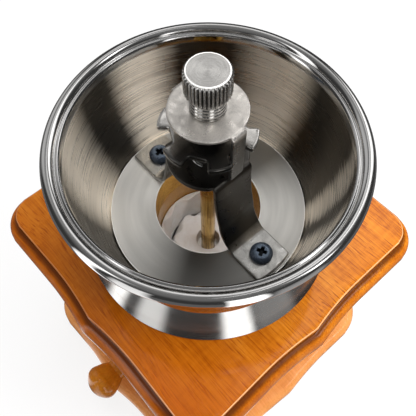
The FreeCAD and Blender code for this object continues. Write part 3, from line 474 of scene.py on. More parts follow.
@dataclass(frozen=True)
class TurnedMetal(Finish):
    """Metal spun or turned about the spindle: fine rings and stretched highlights.

    fans are painted highlights, wedges as (azimuth, half width) in degrees in which Metallic drops so that the
    lamps light them; between them the metal has painted shade. gaps_within and gaps_up_to give the heights and
    the radius of the painted shade in the gaps between teeth.
    """

    colour: Colour = (0.72, 0.71, 0.69)
    low_rough: float = 0.10
    high_rough: float = 0.22
    fineness: float = 1600.0
    breaks: float = 1.5
    stretch: float = 0.6
    ring_depth: float = 0.000004
    polished_from: float = 0.0
    highlight_rims: tuple[float, ...] = ()
    fans: tuple[Pair, ...] = ()
    fan_shade: float = 0.17
    fan_gleam: float = 0.45
    gaps_within: Pair = (0.0, 0.0)
    gaps_up_to: float = 0.0

    def dress(self, tree: Tree, shader: Node) -> None:
        """Rings in roughness, tint and bump, with the highlight stretched across them."""
        rings = tree.group(lathe_group(), {"Fineness": self.fineness, "Breaks": self.breaks})
        wear = tree.group(wear_group(), {"Size": 45.0, "Grit": 1100.0})
        x, y, z = tree.parts(tree.place())
        flat = tree.joined(x, y)
        radius = tree.vector("LENGTH", flat)
        tint = tree.blend(tree.band(rings["Bands"], 0.35, 0.65), faded(self.colour, 0.86), self.colour)
        mixed = tree.plus(tree.times(rings["Rings"], 0.6), tree.times(wear["Smudge"], 0.4))
        rough = tree.band(mixed, 0.35, 0.65, self.low_rough, self.high_rough)
        relief = rings["Rings"]
        painted_gleam: object = 0.0
        # Painted highlight in the fans, painted shade between them; Metallic drops in the fans so the lamps
        # light them.
        if self.fans:
            lit = self.lit(tree, tree.vector("NORMALIZE", flat), relief)
            tint = tree.blend(lit, faded(self.colour, self.fan_shade), tint)
            painted_gleam = tree.times(lit, self.fan_gleam)
        if self.polished_from:
            satin = tree.band(z, self.polished_from - 0.0004, self.polished_from + 0.0004, 1.0, 0.0)
            rough = tree.times(rough, tree.plus(tree.times(satin, 0.72), 0.28))
            relief = tree.times(relief, tree.plus(tree.times(satin, 0.7), 0.3))
            tint = tree.blend(satin, BRIGHT_SKIN, tint)
            painted_gleam = tree.times(painted_gleam, satin)
        # Painted shade in the gaps between the knurl's teeth.
        if self.gaps_up_to:
            low, high = self.gaps_within
            gap = tree.times(tree.band(radius, self.gaps_up_to - 0.00035, self.gaps_up_to, 0.93, 0.0),
                             tree.band(z, low, low + 0.0004), tree.band(z, high - 0.0003, high, 1.0, 0.0))
            tint = tree.blend(gap, tint, GAP_SHADE)
        # Painted highlight lines on the rounded rims at these radii; Metallic drops and roughness rises there
        # too.
        if self.highlight_rims:
            rim_gleam: object = 0.0
            for rim in self.highlight_rims:
                near = tree.band(tree.apart(radius, rim), 0.00012, 0.0003, 1.0, 0.0)
                rim_gleam = tree.math("MAXIMUM", rim_gleam, near)
            tint = tree.blend(rim_gleam, tint, RIM_HIGHLIGHT)
            rough = tree.math("MAXIMUM", rough, tree.times(rim_gleam, 0.5))
            painted_gleam = tree.math("MAXIMUM", painted_gleam, tree.times(rim_gleam, 0.7))
        tree.give(shader, {
            "Base Color": tint, "Roughness": rough, "Anisotropic": self.stretch, "Anisotropic Rotation": 0.25,
            "Metallic": tree.minus(1.0, painted_gleam) if self.fans or self.highlight_rims else 1.0,
            "Tangent": tree.add("ShaderNodeTangent", direction_type="RADIAL", axis="Z").outputs[0]})
        self.bump(tree, shader, relief, self.ring_depth)

    def lit(self, tree: Tree, unit: Socket, rings: Socket) -> object:
        """Return where the painted highlight fans are.

        Args:
            tree: The material's tree.
            unit: The direction from the spindle, of length 1.
            rings: The ring pattern, which frays the fans' sides.

        Returns:
            The mask, 1 in the middle of a fan.
        """
        lit: object = 0.0
        frayed = tree.band(rings, 0.3, 0.7, -0.010, 0.010)
        for azimuth, half_width in self.fans:
            wide = math.radians(half_width)
            near = tree.plus(tree.towards(unit, azimuth), frayed)
            lit = tree.math("MAXIMUM", lit, tree.band(near, math.cos(wide * 2.1), math.cos(wide * 0.2)))
        return lit


@dataclass(frozen=True)
class NickelPlate(Finish):
    """Bright plated steel with a slightly grainy skin, which may take painted shade above or below a height or
    towards one side.
    """

    colour: Colour = (0.50, 0.485, 0.46)
    low_rough: float = 0.11
    high_rough: float = 0.26
    pit_depth: float = 0.00002
    metal: float = 1.0
    painted_shade_band: Pair = (0.0, 0.0)
    painted_shade_towards: float = 0.0
    painted_shade_colour: Colour = (0.17, 0.165, 0.155)

    def dress(self, tree: Tree, shader: Node) -> None:
        """Smudges in the roughness and the bump, smudges and pits in the colour."""
        wear = tree.group(wear_group(), {"Size": 260.0, "Grit": 2400.0})
        stain = tree.plus(tree.times(wear["Pits"], 0.30), tree.band(wear["Smudge"], 0.38, 0.66, 0.0, 0.5))
        tint = tree.blend(stain, self.colour, faded(self.colour, 0.5))
        x, y, z = tree.parts(tree.place())
        # Painted shade on one side of a band of heights.
        if self.painted_shade_band[1]:
            tint = tree.blend(tree.band(z, *self.painted_shade_band), tint, self.painted_shade_colour)
        # Painted shade on the side towards an azimuth.
        if self.painted_shade_towards:
            near = tree.towards(tree.vector("NORMALIZE", tree.joined(x, y)), self.painted_shade_towards)
            tint = tree.blend(tree.band(near, 0.25, 0.75), tint, self.painted_shade_colour)
        rough = tree.band(wear["Smudge"], 0.35, 0.65, self.low_rough, self.high_rough)
        tree.give(shader, {"Base Color": tint, "Metallic": self.metal, "Roughness": rough})
        self.bump(tree, shader, wear["Smudge"], self.pit_depth)


@dataclass(frozen=True)
class BlackOxide(Finish):
    """Blued black screws with bright scuffed edges; head_x and head_top place two heads with painted shade in
    the cross recess.
    """

    colour: Colour = (0.075, 0.095, 0.130)
    patch: Colour = (0.20, 0.23, 0.28)
    crown: Colour = (0.13, 0.165, 0.215)
    # Colour of the painted shade in the cross recess.
    recess: Colour = (0.004, 0.005, 0.007)
    head_x: float = 0.0
    head_top: float = 0.0
    head_curve: float = 0.011

    def dress(self, tree: Tree, shader: Node) -> None:
        """Mostly metal under a dark oxide, broken by scuffed patches."""
        wear = tree.group(wear_group(), {"Size": 500.0, "Grit": 3000.0})
        tint = tree.blend(tree.band(wear["Smudge"], 0.58, 0.72), self.colour, self.patch)
        if self.head_top:
            x, y, z = tree.parts(tree.place())
            aside = tree.minus(tree.math("ABSOLUTE", x), self.head_x)
            radius = tree.vector("LENGTH", tree.joined(aside, y))
            dome = tree.math("DIVIDE", tree.times(radius, radius), self.head_curve)
            sunk = tree.minus(self.head_top, z, dome)
            crown = tree.band(radius, 0.0029, 0.0032, 1.0, 0.0)
            tint = tree.blend(crown, tint, self.crown)
            # Painted shade inside the cross recess.
            tint = tree.blend(tree.times(tree.band(sunk, 0.0001, 0.0003), crown), tint, self.recess)
        tree.give(shader, {"Base Color": tint, "Metallic": 0.75,
                           "Roughness": tree.band(wear["Smudge"], 0.3, 0.7, 0.22, 0.40)})
        self.bump(tree, shader, wear["Pits"], 0.00001)


@dataclass(frozen=True)
class DrawnBrass(Finish):
    """Drawn brass rod, streaked along its length."""

    colour: Colour = (0.36, 0.17, 0.018)
    pale: Colour = (0.84, 0.56, 0.12)

    def dress(self, tree: Tree, shader: Node) -> None:
        """Long streaks in the colour, smudges in the roughness."""
        streak = tree.noise(tree.place(), (1300.0, 1300.0, 45.0), 3.0, 0.6)
        wear = tree.group(wear_group(), {"Size": 200.0, "Grit": 1500.0})
        tree.give(shader, {
            "Base Color": tree.ramp(streak, [(0.32, self.colour), (0.66, self.pale)]), "Metallic": 1.0,
            "Roughness": tree.band(wear["Smudge"], 0.3, 0.7, 0.13, 0.30)})
        self.bump(tree, shader, streak, 0.00001)


@dataclass(frozen=True)
class FiredCeramic(Finish):
    """White fired ceramic with a fine matt grain."""

    colour: Colour = (0.94, 0.93, 0.92)
    shade: Colour = (0.82, 0.78, 0.73)

    def dress(self, tree: Tree, shader: Node) -> None:
        """Faint clouding in the colour and a fine grain in the bump."""
        wear = tree.group(wear_group(), {"Size": 140.0, "Grit": 2600.0})
        tree.give(shader, {
            "Base Color": tree.blend(tree.band(wear["Smudge"], 0.35, 0.75), self.colour, self.shade),
            "Roughness": tree.band(wear["Smudge"], 0.3, 0.7, 0.60, 0.75)})
        self.bump(tree, shader, wear["Pits"], 0.00001)


TOP_LACQUER = Lacquer("lacquer_top", Slot.LACQUERED_WOOD, dark=(0.27, 0.055, 0.002), mid=(0.50, 0.145, 0.006),
                      light=(0.64, 0.225, 0.016), coat=0.75, pores=0.95, edge_shade_height=0.1274,
                      cove_shade_height=0.1277, bore_radius=0.0216, shaded_side_towards=285.0)
SIDE_LACQUER = Lacquer("lacquer_sides", Slot.LACQUERED_WOOD, grain=Grain.ALONG_Z)
FRONT_LACQUER = Lacquer("lacquer_front", Slot.LACQUERED_WOOD, grain=Grain.ALONG_X)
BASE_LACQUER = Lacquer("lacquer_base", Slot.LACQUERED_WOOD, dark=(0.56, 0.20, 0.045), mid=(0.68, 0.28, 0.080),
                       light=(0.75, 0.34, 0.120), pores=0.25, edge_shade_height=0.0138)
KNOB_LACQUER = Lacquer("lacquer_knob", Slot.KNOB_WOOD, grain=Grain.ALONG_Y, dark=(0.36, 0.110, 0.004),
                       mid=(0.44, 0.145, 0.007), light=(0.52, 0.19, 0.012), pores=0.15)
BARE_ALONG_Y = BareWood("bare_wood_y", Slot.PLAIN_WOOD, grain=Grain.ALONG_Y)
BARE_ALONG_X = BareWood("bare_wood_x", Slot.PLAIN_WOOD, grain=Grain.ALONG_X)
BLOCK_WOOD = BareWood("block_wood", Slot.PLAIN_WOOD, dark=(0.40, 0.18, 0.030), light=(0.70, 0.40, 0.090))
# The bowl's fans are painted highlights on its warm colour, with painted shade between them.
SPUN_STEEL = TurnedMetal("spun_steel", Slot.POLISHED_STEEL, colour=(0.97, 0.87, 0.73), low_rough=0.22,
                         high_rough=0.36, stretch=1.0, polished_from=0.1868,
                         fans=((226.0, 10.5), (170.0, 9.0), (104.0, 11.0), (40.0, 4.0), (17.0, 4.5)))
BRIGHT_STEEL = TurnedMetal("bright_steel", Slot.POLISHED_STEEL, low_rough=0.12, high_rough=0.22, stretch=0.6,
                           ring_depth=0.000002)
# The floor's fans are painted highlight and painted shade; its rims take painted highlight lines.
SATIN_DISC = TurnedMetal("satin_disc", Slot.SATIN_STEEL, colour=(0.70, 0.68, 0.64), low_rough=0.30,
                         high_rough=0.48, fineness=2600.0, stretch=0.7, ring_depth=0.000008,
                         highlight_rims=(0.03875, 0.02115), fans=((222.0, 38.0), (42.0, 22.0)),
                         fan_shade=0.55, fan_gleam=0.45)
TURNED_NICKEL = TurnedMetal("turned_nickel", Slot.NICKEL_STEEL, colour=(0.80, 0.78, 0.75), low_rough=0.22,
                            high_rough=0.34, fineness=3200.0, stretch=0.9, ring_depth=0.000003)
# The nut's rim takes a painted highlight line, the gaps between its teeth painted shade.
KNURLED_NICKEL = TurnedMetal("knurled_nickel", Slot.NICKEL_STEEL, colour=(0.76, 0.74, 0.71), low_rough=0.18,
                             high_rough=0.30, fineness=3200.0, stretch=0.9, ring_depth=0.000002,
                             highlight_rims=(0.00625,), gaps_within=(0.2143, 0.2238), gaps_up_to=0.0070)
NICKEL = NickelPlate("nickel_plate", Slot.NICKEL_STEEL)
# Painted shade on the wheel's side towards azimuth 318 degrees, under the lock plate.
WHEEL_NICKEL = NickelPlate("wheel_nickel", Slot.NICKEL_STEEL, colour=(0.86, 0.83, 0.79), metal=0.95,
                           painted_shade_towards=318.0, painted_shade_colour=(0.09, 0.086, 0.08))
# Painted shade on the strap's legs above its feet.
STRAP_NICKEL = NickelPlate("strap_nickel", Slot.NICKEL_STEEL, colour=(0.84, 0.82, 0.78), low_rough=0.26,
                           high_rough=0.40, painted_shade_band=(0.1492, 0.1517), painted_shade_colour=(0.115, 0.108, 0.098))
# Painted shade on the lock plate's tabs, below the disc.
PLATE_NICKEL = NickelPlate("satin_nickel", Slot.NICKEL_STEEL, colour=(0.92, 0.87, 0.81), low_rough=0.24,
                           high_rough=0.44, metal=0.88, painted_shade_band=(0.2072, 0.2050))
SPRING_WIRE = NickelPlate("spring_wire", Slot.SPRING_STEEL, colour=(0.50, 0.50, 0.49))
ZINC = NickelPlate("zinc_plate", Slot.ZINC_STEEL, colour=(0.56, 0.56, 0.55), low_rough=0.30, high_rough=0.48)
BLACK = BlackOxide("black_oxide", Slot.BLACK_STEEL)
BRIDGE_SCREW_BLACK = BlackOxide("black_heads", Slot.BLACK_STEEL, head_x=0.03000, head_top=0.15152)
BRASS = DrawnBrass("drawn_brass", Slot.BRASS)
CERAMIC = FiredCeramic("fired_ceramic", Slot.CERAMIC)


# Meshes


def box_mm(node: str) -> tuple[Vector, Vector]:
    """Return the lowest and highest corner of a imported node, in millimetres."""
    low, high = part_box(node)
    return low / MM, high / MM


def heights(node: str) -> Pair:
    """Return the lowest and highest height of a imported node."""
    low, high = box_mm(node)
    return low.z, high.z


def floor_height() -> float:
    """Return the height of the hopper floor's top face."""
    return heights("hopper_floor")[1]


def link(made: bpy.types.Object) -> bpy.types.Object:
    """Put an object into the scene and return it."""
    bpy.context.scene.collection.objects.link(made)
    return made


def piece(name: str, mesh: Mesh, finish: Finish, body: Body, stands_for: Sequence[str],
          sharp_above: float = 40.0) -> None:
    """Make a finished piece of a mesh in millimetres.

    Args:
        name: Name of the piece.
        mesh: Its mesh, in millimetres, in the frame.
        finish: Its surface.
        body: The body that it moves with.
        stands_for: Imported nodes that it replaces.
        sharp_above: Angle between faces, in degrees, above which an edge stays sharp.
    """
    mesh.name = name
    mesh.transform(Matrix.Scale(MM, 4))
    mesh.shade_smooth()
    mesh.set_sharp_from_angle(angle=math.radians(sharp_above))
    mesh.materials.clear()
    mesh.materials.append(finish.material())
    made = link(bpy.data.objects.new(name, mesh))
    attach(made, body.value)
    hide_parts(*stands_for)
    log.info("%s: %d faces, %s", name, len(mesh.polygons), finish.name)


def dressed(node: str, bevel: float, finish: Finish, body: Body = Body.MILL,
            sharp_above: float = 40.0) -> None:
    """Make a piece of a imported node's own shape, joined up and with its edges broken.

    Args:
        node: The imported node.
        bevel: Width of the broken edges.
        finish: Its surface.
        body: The body that it moves with.
        sharp_above: Angle between faces, in degrees, above which an edge stays sharp.
    """
    bm = bmesh.new()
    bm.from_mesh(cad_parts[node].data)
    bmesh.ops.scale(bm, vec=Vector((1, 1, 1)) / MM, verts=bm.verts)
    bmesh.ops.remove_doubles(bm, verts=bm.verts, dist=0.004)
    bmesh.ops.dissolve_limit(bm, angle_limit=math.radians(0.6), verts=bm.verts, edges=bm.edges)
    sharp = [e for e in bm.edges if e.is_manifold and e.calc_face_angle(0.0) > math.radians(32)]
    bmesh.ops.bevel(bm, geom=sharp, offset=bevel, segments=3, profile=0.5, affect="EDGES", clamp_overlap=True)
    piece(node + "_dressed", mesh_of(bm), finish, body, [node], sharp_above)


def mesh_of(bm: BMesh, outward: bool = True) -> Mesh:
    """Return a bmesh as a plain mesh, its faces turned outwards."""
    if outward:
        bmesh.ops.recalc_face_normals(bm, faces=bm.faces)
    made = bpy.data.meshes.new("made")
    bm.to_mesh(made)
    bm.free()
    return made


def merged(*meshes: Mesh) -> Mesh:
    """Return several meshes as one."""
    bm = bmesh.new()
    for mesh in meshes:
        bm.from_mesh(mesh)
        bpy.data.meshes.remove(mesh)
    return mesh_of(bm, outward=False)


def circle(count: int) -> list[Pair]:
    """Return points in even steps round a circle of radius 1."""
    return [(math.cos(math.tau * i / count), math.sin(math.tau * i / count)) for i in range(count)]


def quarter(steps: int) -> list[float]:
    """Return angles in even steps through a quarter turn."""
    return [QUARTER * k / steps for k in range(steps + 1)]


def turned(points: Iterable[Pair], turn: float) -> list[Pair]:
    """Return points turned about the middle."""
    c, s = math.cos(turn), math.sin(turn)
    return [(x * c - y * s, x * s + y * c) for x, y in points]


class Profile:
    """Outline drawn step by step in a plane, as corners and arcs."""

    def __init__(self, u: float, v: float) -> None:
        """Start the outline at a point."""
        self.points: list[Pair] = [(u, v)]

    def to(self, u: float, v: float) -> "Profile":
        """Add a straight stretch to a point."""
        self.points.append((u, v))
        return self

    def steps_to(self, u: float, v: float, steps: int) -> "Profile":
        """Add a straight stretch in even steps."""
        a, b = self.points[-1]
        self.points += [(a + (u - a) * i / steps, b + (v - b) * i / steps) for i in range(1, steps + 1)]
        return self

    def through(self, middle: Pair, end: Pair, steps: int = 12) -> "Profile":
        """Add the arc from the last point through a middle point.

        Args:
            middle: A point on the arc.
            end: The arc's end.
            steps: How many stretches it is made of.

        Returns:
            The outline itself.
        """
        (ax, ay), (bx, by), (cx, cy) = self.points[-1], middle, end
        d = 2 * (ax * (by - cy) + bx * (cy - ay) + cx * (ay - by))
        sa, sb, sc = ax * ax + ay * ay, bx * bx + by * by, cx * cx + cy * cy
        ox = (sa * (by - cy) + sb * (cy - ay) + sc * (ay - by)) / d
        oy = (sa * (cx - bx) + sb * (ax - cx) + sc * (bx - ax)) / d
        start = math.atan2(ay - oy, ax - ox)
        first = (math.atan2(by - oy, bx - ox) - start) % math.tau
        whole = (math.atan2(cy - oy, cx - ox) - start) % math.tau
        if first > whole:
            whole -= math.tau
        radius = math.hypot(ax - ox, ay - oy)
        angles = (start + whole * i / steps for i in range(1, steps + 1))
        self.points += [(ox + radius * math.cos(a), oy + radius * math.sin(a)) for a in angles]
        return self

    def bulge(self, end: Pair, sag: float, steps: int = 12) -> "Profile":
        """Add an arc from the last point.

        Args:
            end: The arc's end.
            sag: How far it bulges to the right of the way to its end.
            steps: How many stretches it is made of.

        Returns:
            The outline itself.
        """
        (ax, ay), (bx, by) = self.points[-1], end
        span = math.dist(self.points[-1], end)
        middle = ((ax + bx) / 2 + (by - ay) / span * sag, (ay + by) / 2 - (bx - ax) / span * sag)
        return self.through(middle, end, steps)

    def closed(self, rounding: float, steps: int = 4) -> list[Pair]:
        """Return the closed outline with its sharp corners rounded."""
        return rounded(self.points, rounding, steps)


def rounded(points: Sequence[Pair], rounding: float, steps: int, least_turn: float = 20.0) -> list[Pair]:
    """Round the sharp corners of a closed outline, except those on the axis.

    Args:
        points: The outline.
        rounding: Radius of a rounded corner.
        steps: Points round a corner.
        least_turn: Corners that turn by less, in degrees, stay as they are.

    Returns:
        The points, without the first one repeated.
    """
    points = [p for i, p in enumerate(points) if i == 0 or math.dist(p, points[i - 1]) > SMALL]
    if math.dist(points[0], points[-1]) < SMALL:
        points.pop()
    made: list[Pair] = []
    for i, here in enumerate(points):
        middle = Vector(here)
        one, two = Vector(points[i - 1]) - middle, Vector(points[(i + 1) % len(points)]) - middle
        turn = math.pi - one.angle(two)
        if math.degrees(turn) < least_turn or abs(here[0]) < SMALL:
            made.append(here)
            continue
        cut = min(rounding * math.tan(turn / 2), 0.45 * one.length, 0.45 * two.length)
        first, last = middle + one.normalized() * cut, middle + two.normalized() * cut
        for t in (k / steps for k in range(steps + 1)):
            spot = first * (1 - t) ** 2 + middle * 2 * t * (1 - t) + last * t ** 2
            made.append((spot.x, spot.y))
    return made


def lathe(points: Sequence[Pair], turns: int = 256) -> Mesh:
    """Revolve a closed outline of (radius, height) about Z.

    Args:
        points: The outline. Points on the axis become poles.
        turns: Steps round the axis.

    Returns:
        A closed mesh.
    """
    bm = bmesh.new()
    ring = circle(turns)
    rows: list[Row] = []
    for radius, height in points:
        spots = ring if radius > SMALL else [(0.0, 0.0)]
        rows.append([bm.verts.new((radius * c, radius * s, height)) for c, s in spots])
    for one, two in zip(rows, rows[1:] + rows[:1]):
        join_rows(bm, one, two)
    return mesh_of(bm)


def join_rows(bm: BMesh, one: Row, two: Row) -> None:
    """Join two closed rows of vertices by faces.

    Args:
        bm: The mesh that holds them.
        one: The first row; a row of one vertex is a pole.
        two: The second row.
    """
    if len(one) == len(two) == 1:
        return
    count = max(len(one), len(two))
    for i in range(count):
        j = (i + 1) % count
        if len(one) == 1:
            bm.faces.new((one[0], two[j], two[i]))
        elif len(two) == 1:
            bm.faces.new((one[i], one[j], two[0]))
        else:
            bm.faces.new((one[i], one[j], two[j], two[i]))


def ring_slab(outline: Sequence[Pair], steps: Sequence[Pair], hole: float = 0.0) -> Mesh:
    """Make a slab whose edge profile follows an outline.

    Args:
        outline: Points of the outline, counter-clockwise.
        steps: Profile of the edge as (inset, height), from the top to the bottom.
        hole: Radius of a round hole through it, or 0.

    Returns:
        A closed mesh.
    """
    bm = bmesh.new()
    inward: list[Vector] = []
    for i in range(len(outline)):
        along = Vector(outline[(i + 1) % len(outline)]) - Vector(outline[i - 1])
        inward.append(Vector((-along.y, along.x)).normalized())
    rows: list[Row] = []
    for inset, height in steps:
        spots = [Vector(p) + n * inset for p, n in zip(outline, inward)]
        rows.append([bm.verts.new((s.x, s.y, height)) for s in spots])
    for one, two in zip(rows, rows[1:]):
        join_rows(bm, one, two)
    ends = (rows[0], rows[-1])
    if hole > 0.0:
        spots = circle(HOLE_STEPS)
        rims = [[bm.verts.new((hole * c, hole * s, row[0].co.z)) for c, s in spots] for row in ends]
        join_rows(bm, *rims)
        for row, rim in zip(ends, rims):
            around = [bm.edges.get((loop[i - 1], loop[i])) for loop in (row, rim) for i in range(len(loop))]
            bmesh.ops.triangle_fill(bm, use_beauty=True, edges=around)
    else:
        bm.faces.new(rows[0])
        bm.faces.new(list(reversed(rows[-1])))
    return mesh_of(bm)


def upper_round(radius: float, top: float, angles: Sequence[float], inset: float = 0.0) -> list[Pair]:
    """Return the rounding under a slab's upper face as (inset, height)."""
    return [(inset + radius * (1 - math.sin(a)), top - radius * (1 - math.cos(a))) for a in angles]


def round_edge(low: float, high: float, top_round: float, bottom_round: float, top_steps: int = 10,
               bottom_steps: int = 7) -> list[Pair]:
    """Return the rounded edge of a slab as (inset, height), from the top down.

    Args:
        low: Height of its lower face.
        high: Height of its upper face.
        top_round: Radius of the upper rounding.
        bottom_round: Radius of the lower rounding.
        top_steps: Stretches of the upper rounding.
        bottom_steps: Stretches of the lower rounding.

    Returns:
        The points.
    """
    lower = [(bottom_round * (1 - math.cos(a)), low + bottom_round * (1 - math.sin(a)))
             for a in quarter(bottom_steps)]
    return upper_round(top_round, high, quarter(top_steps)) + lower


@dataclass
class BentSheet:
    """Sheet cut to an outline while flat and then bent down at both ends along one path.

    The path is the outer face in section, from the middle outwards, as (x, height) points.
    """

    thick: float
    edge: float
    path: list[Pair]
    round_r: float
    width: float
    end_r: float = 0.0
    corner: float = 0.9
    flat_edge: float = 0.45

    def length_at(self, index: int) -> float:
        """Return the length of the path up to one of its points."""
        return sum(math.dist(a, b) for a, b in zip(self.path[:index], self.path[1:index + 1]))

    def outline(self) -> list[Pair]:
        """Return the flat outline, counter-clockwise: a round middle with an arm on either side."""
        half, r = self.width / 2, self.round_r
        whole = self.path[0][0] + self.length_at(len(self.path) - 1)
        shoulder = min(math.sqrt(r ** 2 - half ** 2), self.path[0][0] + 0.35)
        sweep = math.asin(shoulder / r)
        side = [(r * math.sin(a), r * math.cos(a)) for a in (sweep * k / 28 for k in range(29))]
        if self.end_r > 0.0:
            centre = whole - self.path[-1][0]
            wide = math.asin(half / self.end_r)
            tip = [(centre + self.end_r * math.cos(a), self.end_r * math.sin(a))
                   for a in (wide, wide / 2, 0.0)]
        else:
            tip = [(whole, half), (whole, 0.0)]
        run = tip[0][0] - shoulder
        side += [(shoulder + run * k / 6, half) for k in range(6)] + tip
        right = side + [(s, -y) for s, y in reversed(side[:-1])]
        whole_ring = right + [(-s, y) for s, y in reversed(right[1:-1])]
        return rounded(list(reversed(whole_ring)), self.corner, 5, 30.0)

    def mesh(self, hole: float) -> Mesh:
        """Return the bent sheet.

        Args:
            hole: Radius of the round hole in its middle.

        Returns:
            A closed mesh.
        """
        e, t = self.edge, self.thick
        steps = [(e + self.flat_edge, t)] + round_edge(0.0, t, e, e, 3, 3) + [(e + self.flat_edge, 0.0)]
        flat = ring_slab(self.outline(), steps, hole)
        bm = bmesh.new()
        bm.from_mesh(flat)
        bpy.data.meshes.remove(flat)
        for index in range(len(self.path) - 1):
            at = self.path[0][0] + self.length_at(index)
            for x in (-at, at):
                parts = list(bm.verts) + list(bm.edges) + list(bm.faces)
                bmesh.ops.bisect_plane(bm, geom=parts, dist=1e-4, plane_co=(x, 0, 0), plane_no=(1, 0, 0))
        for vert in bm.verts:
            vert.co = self.bent(vert.co)
        return mesh_of(bm)

    def bent(self, spot: Vector) -> Vector:
        """Return where a point of the flat sheet comes to lie.

        Args:
            spot: The point, with the sheet's lower face at height 0.

        Returns:
            Its place in the bent sheet.
        """
        run = abs(spot.x) - self.path[0][0]
        depth = self.thick - spot.z
        if run <= 0:
            return Vector((spot.x, spot.y, self.path[0][1] - depth))
        for a, b in zip(self.path, self.path[1:]):
            step = math.dist(a, b)
            if run <= step + SMALL or b is self.path[-1]:
                break
            run -= step
        along = (Vector(b) - Vector(a)).normalized()
        here = Vector(a) + along * run
        return Vector((math.copysign(here.x + along.y * depth, spot.x), spot.y, here.y - along.x * depth))


# Geometry node trees for what repeats or follows a path or a rule


def geometry_tree(name: str, inputs: dict[str, float]) -> tuple[Tree, Sequence[Socket]]:
    """Start a geometry tree with named inputs.

    Args:
        name: Name of the tree.
        inputs: First value of each number input by its name; a whole number makes a whole-number input.

    Returns:
        The tree and its inputs, of which the first is the geometry.
    """
    made = bpy.data.node_groups.new(name, "GeometryNodeTree")
    made.interface.new_socket("Geometry", in_out="INPUT", socket_type="NodeSocketGeometry")
    for label, value in inputs.items():
        kind = "NodeSocketInt" if isinstance(value, int) else "NodeSocketFloat"
        made.interface.new_socket(label, in_out="INPUT", socket_type=kind).default_value = value
    made.interface.new_socket("Geometry", in_out="OUTPUT", socket_type="NodeSocketGeometry")
    tree = Tree(made)
    return tree, tree.add("NodeGroupInput").outputs


def finish_tree(tree: Tree, shape: Socket, finish: Finish) -> NodeTree:
    """End a geometry tree in plain meshes with their material.

    Args:
        tree: The tree.
        shape: What it makes.
        finish: The surface of that.

    Returns:
        The finished node tree.
    """
    plain = tree.add("GeometryNodeRealizeInstances", {"Geometry": shape})
    skin = tree.add("GeometryNodeSetMaterial", {"Geometry": plain.outputs[0], "Material": finish.material()})
    tree.add("NodeGroupOutput", {"Geometry": skin.outputs[0]})
    return tree.tree


def evaluated(made: bpy.types.Object) -> Mesh:
    """Return an object's mesh as its modifiers make it."""
    ready = made.evaluated_get(bpy.context.evaluated_depsgraph_get())
    return bpy.data.meshes.new_from_object(ready)


def baked(made: NodeTree, seed_mesh: Mesh | None, values: dict[str, float]) -> Mesh:
    """Run a geometry tree once and return the plain mesh that it makes.

    Args:
        made: The geometry tree.
        seed_mesh: Mesh that the tree starts from, or none.
        values: Values of its named inputs.

    Returns:
        The mesh, free of modifiers.
    """
    carrier = link(bpy.data.objects.new("carrier", seed_mesh or bpy.data.meshes.new("empty")))
    modifier = carrier.modifiers.new("tree", "NODES")
    modifier.node_group = made
    for item in made.interface.items_tree:
        if item.in_out == "INPUT" and item.name in values:
            modifier[item.identifier] = values[item.name]
    mesh = evaluated(carrier)
    carrier.modifiers.remove(modifier)
    bpy.data.objects.remove(carrier)
    return mesh


def coil_tree(finish: Finish) -> NodeTree:
    """Return the tree that winds a wire into a spring.

    Args:
        finish: The wire's surface.

    Returns:
        The tree; Start is the angle at which the wire begins.
    """
    tree, given = geometry_tree("coil", {
        "Turns": 4.0, "Radius": 6.0, "Height": 10.0, "Wire": 0.6, "Bottom": 0.0, "Start": 0.0})
    spiral = tree.add("GeometryNodeCurveSpiral", {
        "Resolution": 48, "Rotations": given["Turns"], "Start Radius": given["Radius"],
        "End Radius": given["Radius"], "Height": given["Height"]})
    moved = tree.add("GeometryNodeTransform", {
        "Geometry": spiral.outputs[0], "Translation": tree.joined(z=given["Bottom"]),
        "Rotation": tree.joined(z=given["Start"])})
    wire = tree.add("GeometryNodeCurvePrimitiveCircle", {"Resolution": 16, "Radius": given["Wire"]})
    tube = tree.add("GeometryNodeCurveToMesh", {
        "Curve": moved.outputs[0], "Profile Curve": wire.outputs[0], "Fill Caps": True})
    return finish_tree(tree, tube.outputs[0], finish)


